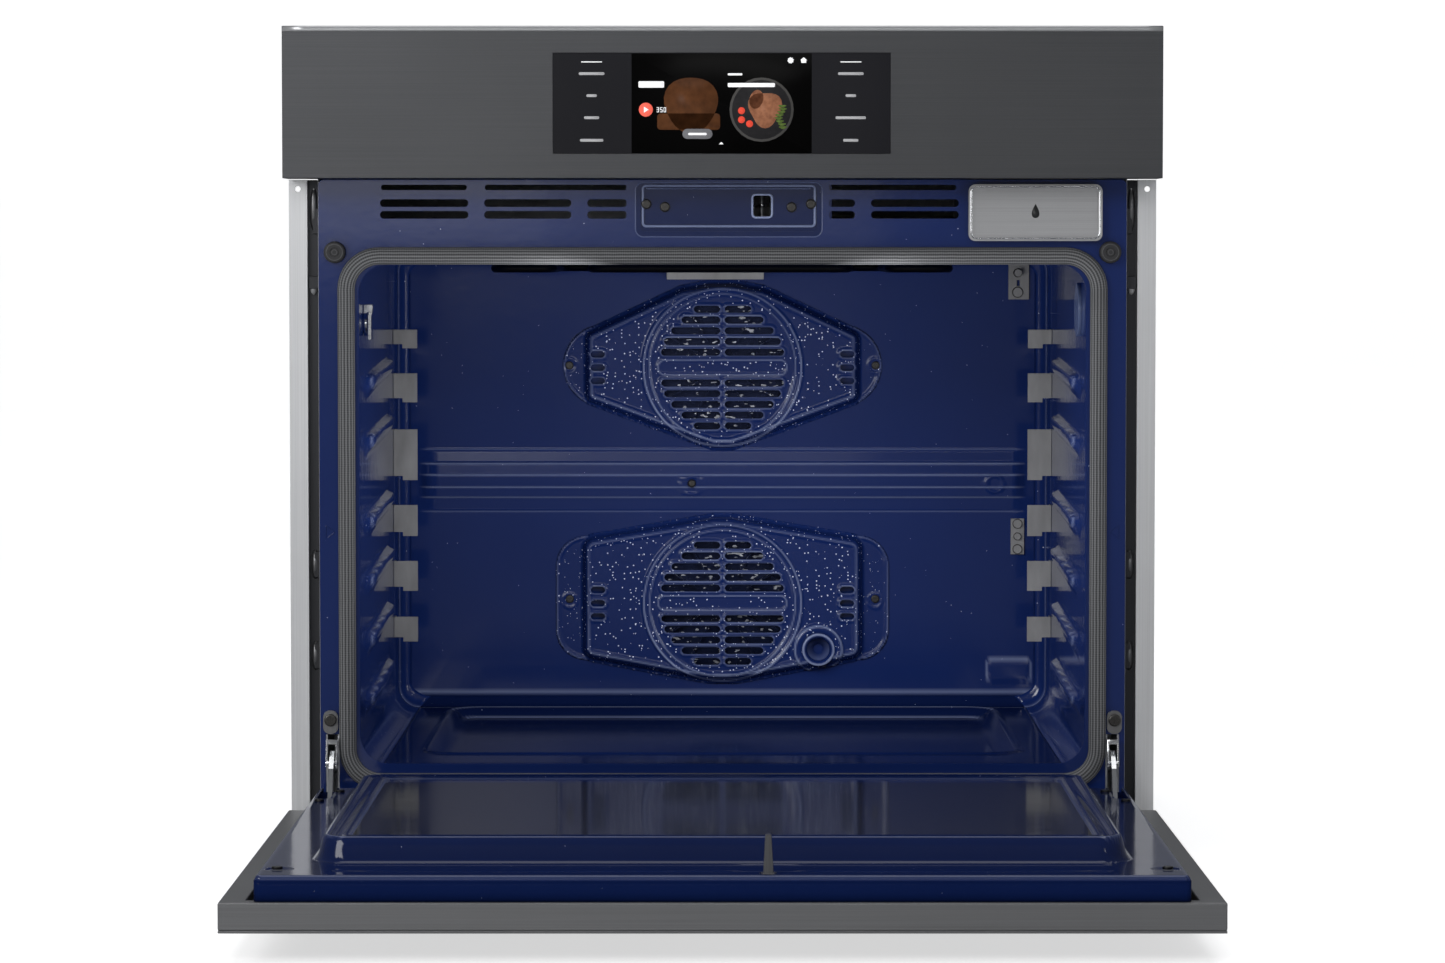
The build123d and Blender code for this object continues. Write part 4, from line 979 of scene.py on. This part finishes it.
RIM_INSET = 2.2
drawer_low, drawer_high = box_mm("reservoir_front")
drawer_middle = (drawer_low + drawer_high) / 2
rim_line = rounded_line(drawer_middle[0], (drawer_high[0] - drawer_low[0]) / 2 - RIM_INSET,
                        drawer_low[2] + RIM_INSET, drawer_high[2] - RIM_INSET, 5, 8, 12)
bead("reservoir_rim", rim_line, drawer_low[1] + 1.8, 2.0, "chrome", "reservoir")
plate_low, plate_high = box_mm("latch_plate")
# The window rim's navy is painted paler: a painted highlight.
bead("latch_window_rim", rounded_line(strike_x, 8.6, 563.2, 583.2, 3.2, 6, 4), plate_high[1] - SHEET, 1.0,
     "blue_enamel", painted_highlight=0.9)
PLATE_MIDDLE, PLATE_HALF, PLATE_LOW, PLATE_HIGH = 5.5, 81.5, 546.0, 593.8
PLATE_BEADS = (("outer", 0.4, 0.9, 0.25), ("middle", 4.6, 0.7, 0.15), ("inner", 9.6, 1.2, 0.55))
# The last number of each plate bead is how much paler its navy is painted: a painted highlight.
for label, gap, reach, bead_highlight in PLATE_BEADS:
    plate_line = rounded_line(PLATE_MIDDLE, PLATE_HALF - gap * 0.7, PLATE_LOW + gap, PLATE_HIGH - gap * 0.3,
                              7.0 - gap / 2.4, 6, 8)
    bead(f"latch_plate_{label}_bead", plate_line, plate_low[1] + 0.7, reach, "blue_enamel", painted_highlight=bead_highlight)
ledge_line = between([(-66, 589.5), (76, 589.5), (76, 588.3), (-66, 588.3)], 6)
bead("latch_plate_top_ledge", ledge_line, plate_low[1] + 0.7, 0.6, "blue_enamel", painted_highlight=0.3)
BUMPER_X, BUMPER_Z = 337.0, 533.0
circle = full_turn(32)
for side, label in SIDES:
    # The rings are beads of the bumper's black rubber, painted lighter grey as a painted highlight.
    for ring_r, mark in ((7.0, "outer"), (2.2, "inner")):
        ring = np.stack([ring_r * np.cos(circle), ring_r * np.sin(circle)], -1) + (side * BUMPER_X, BUMPER_Z)
        bead(f"bumper_{mark}_ring_{label}", ring, box_mm("door_bumpers")[0][1] + 0.4, 0.45, "black_rubber",
             finish="ring_rubber")
    arrow = between([(side * 346, 295), (side * 346, 283), (side * 338.5, 289)], 6)
    bead(f"alignment_mark_{label}", arrow, box_mm("front_frame")[0][1], 0.45, "blue_enamel")

# %% [markdown]
# ## Sensor plates
# Two bright plates near the back wall hold the temperature sensors. Each is riveted and screwed on, and
# a dark ring laid round every head is painted shade for the gap round it, which makes it readable from
# the room.

# %% Rings round the sensor plates' screws
circle = full_turn(24)
SENSOR_HEADS = ((289, 512, 3.9), (289, 493, 4.9), (289.5, 241, 4.3), (289.5, 253.5, 3.4), (289.5, 266, 4.3))
for n, (x, z, r) in enumerate(SENSOR_HEADS):
    ring = np.stack([x + r * np.cos(circle), z + r * np.sin(circle)], -1)
    bead(f"sensor_ring_{n}", ring, cavity_back - 3.2, 0.55, "grey_steel", finish="screw_steel", sides=8)

# %% [markdown]
# ## Side channel bulges
# The casing's side channels are dimpled outwards where the fixing brackets sit behind them, and a small
# bright clip holds each near the top. A dimple is a dome: its depth falls off as the square root of one
# less the squared distance from its middle.


# %% Bulges and clips
def dome(name, x, z, half_x, half_z, y, rise, slot, finish):
    """Half ellipsoid standing on the plane at y, towards the room."""
    out, turn = np.meshgrid(np.linspace(0, 1, 9), full_turn(28), indexing="ij")
    depth = y - rise * np.sqrt(np.maximum(1 - out ** 2, 0))
    points = np.stack([x + half_x * out * np.cos(turn), depth, z + half_z * out * np.sin(turn)], -1)
    make_piece(name, points, grid_faces(9, 28, close_cols=True), slot, finish=finish, flip=True)


BULGES = ((570, 19), (260, 13), (180, 13))
for side, label in SIDES:
    for n, (z, half) in enumerate(BULGES):
        # The bulges are dimples of the dark channel sheet, painted the lighter grey steel as a painted
        # highlight.
        dome(f"channel_bulge_{label}_{n}", side * 356.5, z, 3.6, half, 3.5, 5.0, "dark_channel",
             "grey_steel")
    dome(f"channel_clip_{label}", side * 356.8, 504, 3.4, 8, 1.0, 4.0, "dark_channel", "hem_steel")

# %% [markdown]
# ## Control panel hem
# The brushed front is folded over at its top, and the fold catches more light than the flat, so the fold
# is painted a lighter steel than the panel as a painted highlight. The fold is a short profile carried
# the whole width.

# %% Panel hem
panel_low, panel_high = box_mm("control_panel")
hem_y = np.array([0.0, -0.5, -0.7, -0.6, 0.1, 2.0, 7.0])
hem_z = np.array([-4.8, -4.4, -3.6, -1.4, -0.3, 0.02, 0.02])
hem_x = np.linspace(panel_low[0] + 0.4, panel_high[0] - 0.4, 40)
HEM_Y = -62.0
points = grid_points(hem_x[None, :], hem_y[:, None] + HEM_Y, hem_z[:, None] + panel_high[2])
make_piece("panel_top_hem", points, grid_faces(7, 40), "dark_steel", thickness=0.3, finish="hem_steel")

# %% [markdown]
# ## Touch display
# Behind the glass sit rows of touch keys and a colour screen with two tiles. Everything on it is a flat
# mark a hair in front of the glass. Words are left out: a short bar stands for each label.


# %% Flat marks
def tile(x0, x1, z0, z1, r=1.0):
    """Outline of a rounded rectangle, as corner arcs joined by its sides."""
    turn = np.linspace(0, math.pi / 2, 5)
    corners = ((x1 - r, z1 - r, 0), (x0 + r, z1 - r, 1), (x0 + r, z0 + r, 2), (x1 - r, z0 + r, 3))
    arcs = [np.stack([cx + r * np.cos(turn + q * math.pi / 2), cz + r * np.sin(turn + q * math.pi / 2)], -1)
            for cx, cz, q in corners]
    return np.concatenate(arcs)


def blob(x, z, rx, rz, waves=0, wobble=0.0, points=28):
    """Outline of an oval whose radius swells and shrinks a number of times round it."""
    turn = full_turn(points)
    r = 1 + wobble * np.sin(waves * turn)
    return np.stack([x + rx * r * np.cos(turn), z + rz * r * np.sin(turn)], -1)


def flat_marks(name, outlines, y, finish, slot="display_glass", body="oven"):
    """Flat faces at depth y, one for each outline."""
    points, faces, start = [], [], 0
    for outline in outlines:
        points.append(np.stack([outline[:, 0], np.full(len(outline), y), outline[:, 1]], -1))
        faces.append(tuple(range(start, start + len(outline))))
        start += len(outline)
    make_piece(name, np.concatenate(points), faces, slot, body, thickness=0.04, finish=finish)


# %% [markdown]
# ## Colours of the screen
# A lit screen gives its own light, so each colour glows faintly besides being seen by the room's.


# %% Screen colours
def lit(name, colour, second=None, size=0.01, glow=0.35):
    """Screen colour: mottled between two tones, and glowing faintly."""
    f = Finish(name, Roughness=0.3, Specular_IOR_Level=0.05, Emission_Strength=glow)
    second = second or tuple(c * 0.8 for c in colour)
    tint = f.mix(f.noise(size), colour + (1,), second + (1,))
    f.set("Base Color", tint)
    f.set("Emission Color", tint)
    return f.material


SCREEN_TONES = {
    "screen_black": ((0.0015, 0.0014, 0.0014), None, 0.01, 0.2),
    "screen_wood": ((0.11, 0.042, 0.016), (0.022, 0.009, 0.005), 0.009),
    "screen_plate": ((0.022, 0.021, 0.022), (0.012, 0.012, 0.013), 0.004),
    "screen_rim": ((0.06, 0.058, 0.056),),
    "screen_meat": ((0.34, 0.15, 0.08), (0.08, 0.025, 0.014), 0.004),
    "screen_red": ((0.62, 0.06, 0.035), None, 0.01, 0.5),
    "screen_coral": ((0.80, 0.13, 0.09), None, 0.01, 0.5),
    "screen_green": ((0.10, 0.15, 0.035), (0.03, 0.05, 0.012), 0.002),
    "screen_white": ((0.78, 0.78, 0.79), None, 0.01, 0.6),
    "screen_grey": ((0.15, 0.15, 0.16),),
    "screen_label": ((0.40, 0.40, 0.41), None, 0.01, 0.2),
}
add_finishes(lit, SCREEN_TONES)

# %% [markdown]
# ## What the screen shows
# The pictures are built up in layers, from the black ground to the white marks, each a hair nearer than
# the last. The numerals are made of straight strokes.

# %% Pictures and labels
glass_face = box_mm("display_glass")[0][1]
LAYER = 0.05


def digit(segments, x, z, wide=2.1, high=4.2, line=0.55):
    """A numeral made of straight strokes: top, middle, bottom, and the four upright halves."""
    half = high / 2
    strokes = {"t": (0, wide, high - line, high), "m": (0, wide, half - line / 2, half + line / 2),
               "b": (0, wide, 0, line), "ul": (0, line, half, high), "ll": (0, line, 0, half),
               "ur": (wide - line, wide, half, high), "lr": (wide - line, wide, 0, half)}
    return [tile(x + a, x + b, z + c, z + d, 0.2) for a, b, c, d in (strokes[k] for k in segments)]


sprigs = [blob(50 + 1.8 * math.cos(n), 640 + 2.6 * n, 3.2, 1.2, 3, 0.2) for n in range(8)]
marks = [np.array([(-67.4, 652.6), (-63.2, 655.2), (-67.4, 657.8)]),
         tile(-72, -50, 674, 679.5, 1), tile(4.5, 45, 674.5, 678, 1), tile(4.5, 17, 684.5, 686.3, 0.8),
         blob(58.4, 697.3, 2.5, 2.5, 8, 0.14), tile(67.4, 71.8, 695.2, 697.6, 0.3),
         np.array([(66.6, 697.4), (72.6, 697.4), (69.6, 700)]),
         np.array([(-3, 625.6), (1, 625.6), (-1, 627.6)])]
NUMERALS = (("t", "m", "b", "ur", "lr"), ("t", "m", "b", "ul", "lr"), ("t", "b", "ul", "ll", "ur", "lr"))
for place, strokes in enumerate(NUMERALS):
    marks += digit(strokes, -56.5 + 3.0 * place, 653)
labels = []
for column, widths in ((-112.2, (22, 9, 13, 20)), (110.0, (22, 9, 26, 13))):
    marks.append(tile(column - 9, column + 9, 695.6, 696.4, 0.3))
    for level, wide in zip((686, 667.2, 648.3, 629), widths):
        labels.append(tile(column - wide / 2, column + wide / 2, level - 1.2, level + 1.2, 1.0))
SCREEN = (
    ("screen", 1, "screen_black", [tile(-78, 76.5, 617.9, 703.2, 0.5)]),
    ("loaf_picture", 2, "screen_wood", [blob(-27, 660, 23, 24, 3, 0.06), tile(-56, -2, 638, 652, 3)]),
    ("plate_picture", 2, "screen_rim", [blob(33.5, 655.2, 27.5, 27.5)]),
    ("plate_middle", 3, "screen_plate", [blob(33.5, 655.2, 25.4, 25.4)]),
    ("meat_picture", 4, "screen_meat", [blob(36.5, 656, 14, 15, 3, 0.12), blob(29, 664, 6, 8, 2, 0.1)]),
    ("tomato_pictures", 5, "screen_red",
     [blob(x, z, 3, 3) for x, z in ((16.3, 654.3), (16.3, 646.6), (23.2, 643.1))]),
    ("herb_pictures", 5, "screen_green", sprigs),
    ("start_button", 3, "screen_coral", [blob(-65.7, 655.2, 6, 6)]),
    ("screen_marks", 4, "screen_white", marks),
    ("key_labels", 4, "screen_label", labels),
    ("more_button", 3, "screen_grey", [tile(-34.4, -8.6, 630.2, 638.8, 4.2)]),
    ("more_label", 4, "screen_white", [tile(-29.5, -13.5, 633.4, 635.4, 0.9)]),
)
for name, layer, finish, outlines in SCREEN:
    flat_marks(name, outlines, glass_face - layer * LAYER, finish)

# %% [markdown]
# ## Water drawer mark
# A plain drop says what the drawer is for.

# %% Drop
turn = full_turn(36)
drop_x = drawer_middle[0] + 4.6 * np.sin(turn) * np.sin(turn / 2) ** 1.3
drop_z = drawer_middle[2] + 1.5 + 6.2 * np.cos(turn)
flat_marks("water_drop_mark", [np.stack([drop_x, drop_z], -1)[::-1]], drawer_low[1] + 0.9, "black_plastic",
           "grey_plastic", "reservoir")

# %% [markdown]
# ## Stage
# The floor curves up into the backdrop so that no horizon shows, far enough back to leave room for a look
# from behind. It is left out of reflections so that the enamel stays deep.

# %% Floor and backdrop
stage_mat = Finish("stage_white", Roughness=0.9, Emission_Color=(1, 1, 1, 1), Emission_Strength=0.60)
stage_mat.set("Base Color", stage_mat.mix(stage_mat.noise(1.5), (0.86, 0.86, 0.86, 1), (0.9, 0.9, 0.9, 1)))
STAGE_HALF, STAGE_BACK, STAGE_HIGH, STAGE_BEND = 9000, 8000, 7000, 1500
bend = np.linspace(0, math.pi / 2, 12)
stage_y = np.concatenate([[-STAGE_HALF], STAGE_BACK - STAGE_BEND * (1 - np.sin(bend)), [STAGE_BACK]])
stage_z = np.concatenate([[0], STAGE_BEND * (1 - np.cos(bend)), [STAGE_HIGH]])
stage_x = np.linspace(-STAGE_HALF, STAGE_HALF, 9)
x, row = np.meshgrid(stage_x, np.arange(len(stage_y)), indexing="ij")
stage_mesh = bpy.data.meshes.new("studio_floor")
stage_points = np.stack([x, stage_y[row], stage_z[row] - 0.5], -1) * MM
stage_mesh.from_pydata(stage_points.reshape(-1, 3).tolist(), [], grid_faces(*x.shape).tolist())
stage = bpy.data.objects.new("studio_floor", stage_mesh)
scene.collection.objects.link(stage)
stage_mesh.materials.append(stage_mat.material)
stage.visible_glossy = False
print("stage:", len(stage_mesh.polygons), "faces")


# %% [markdown]
# ## Lights
# Broad lights fill the shapes evenly, two of them from inside the mouth of the cavity, and narrow strips
# are there to be mirrored as fine lines along the bends. A lamp can serve only matt surfaces or only
# glossy ones, so that filling the cavity doesn't wash out the dark mirror of the enamel.


# %% Lights
def soft_light(name, place, target, size, power, gloss=True, matt=True):
    """Flat light aimed at a point; gloss and matt choose which kind of surface it serves."""
    lamp = bpy.data.lights.new(name, "AREA")
    lamp.shape = "RECTANGLE"
    lamp.size, lamp.size_y = size
    lamp.energy = power
    holder = bpy.data.objects.new(name, lamp)
    holder.location = place
    aim = Vector(target) - Vector(place)
    holder.rotation_euler = aim.to_track_quat("-Z", "Y").to_euler()
    holder.visible_camera = False
    holder.visible_glossy = gloss
    holder.visible_diffuse = matt
    scene.collection.objects.link(holder)
    print("light", name, power, "W")


soft_light("key", (-2.8, -3.4, 2.2), (0, 0, 0.4), (1.8, 1.8), 80)
soft_light("front_fill", (0.4, -5.2, 2.3), (0, 0.3, 0.2), (3.0, 1.2), 70, gloss=False)
soft_light("top", (0, 0.3, 3.2), (0, 0, 0), (3.2, 2.4), 45)
soft_light("left_card", (-1.8, -4.3, 0.82), (0, 0, 0.6), (1.8, 0.55), 9.5, matt=False)
soft_light("left_card_edge", (-0.62, -4.3, 0.82), (-0.62, 0, 0.6), (0.6, 0.55), 1.7, matt=False)
soft_light("middle_card", (-0.02, -4.3, 0.82), (-0.02, 0, 0.6), (0.6, 0.55), 0.8, matt=False)
soft_light("line_strip", (0, -4.2, 1.15), (0, 0, 0.4), (2.4, 0.08), 4.5, matt=False)
soft_light("right_strip", (2.4, -3.4, 0.9), (0, 0, 0.4), (0.16, 1.4), 6.0, matt=False)
for side, label in SIDES:
    soft_light(f"inside_{label}", (side * 0.09, -0.02, 0.36), (side * 0.27, 0.5, 0.34), (0.14, 0.30), 1.1,
               gloss=False)

world = bpy.data.worlds.new("studio")
world.use_nodes = True
scene.world = world
tree = world.node_tree
sky = tree.nodes["Background"]
seen = tree.nodes.new("ShaderNodeLightPath")
bright = tree.nodes.new("ShaderNodeMix")
bright.data_type = "RGBA"
bright.inputs[6].default_value = (0.15, 0.155, 0.165, 1)
bright.inputs[7].default_value = (1, 1, 1, 1)
tree.links.new(seen.outputs["Is Camera Ray"], bright.inputs[0])
tree.links.new(bright.outputs[2], sky.inputs[0])

# %% [markdown]
# ## Camera
# The camera stands a little over four metres away and just below the top of the oven, looking slightly
# down. A long lens keeps the upright edges of the front almost parallel, as in a catalogue picture.

# %% Camera
camera = bpy.data.objects.new("camera", bpy.data.cameras.new("camera"))
camera.data.lens = 115.5
camera.data.sensor_width = 36
camera.location = (0, -4.048, 0.540)
camera.rotation_euler = (math.radians(90 - 2.93), 0, 0)
scene.collection.objects.link(camera)
scene.camera = camera
scene.view_settings.view_transform = "Standard"
print("camera at", tuple(camera.location))
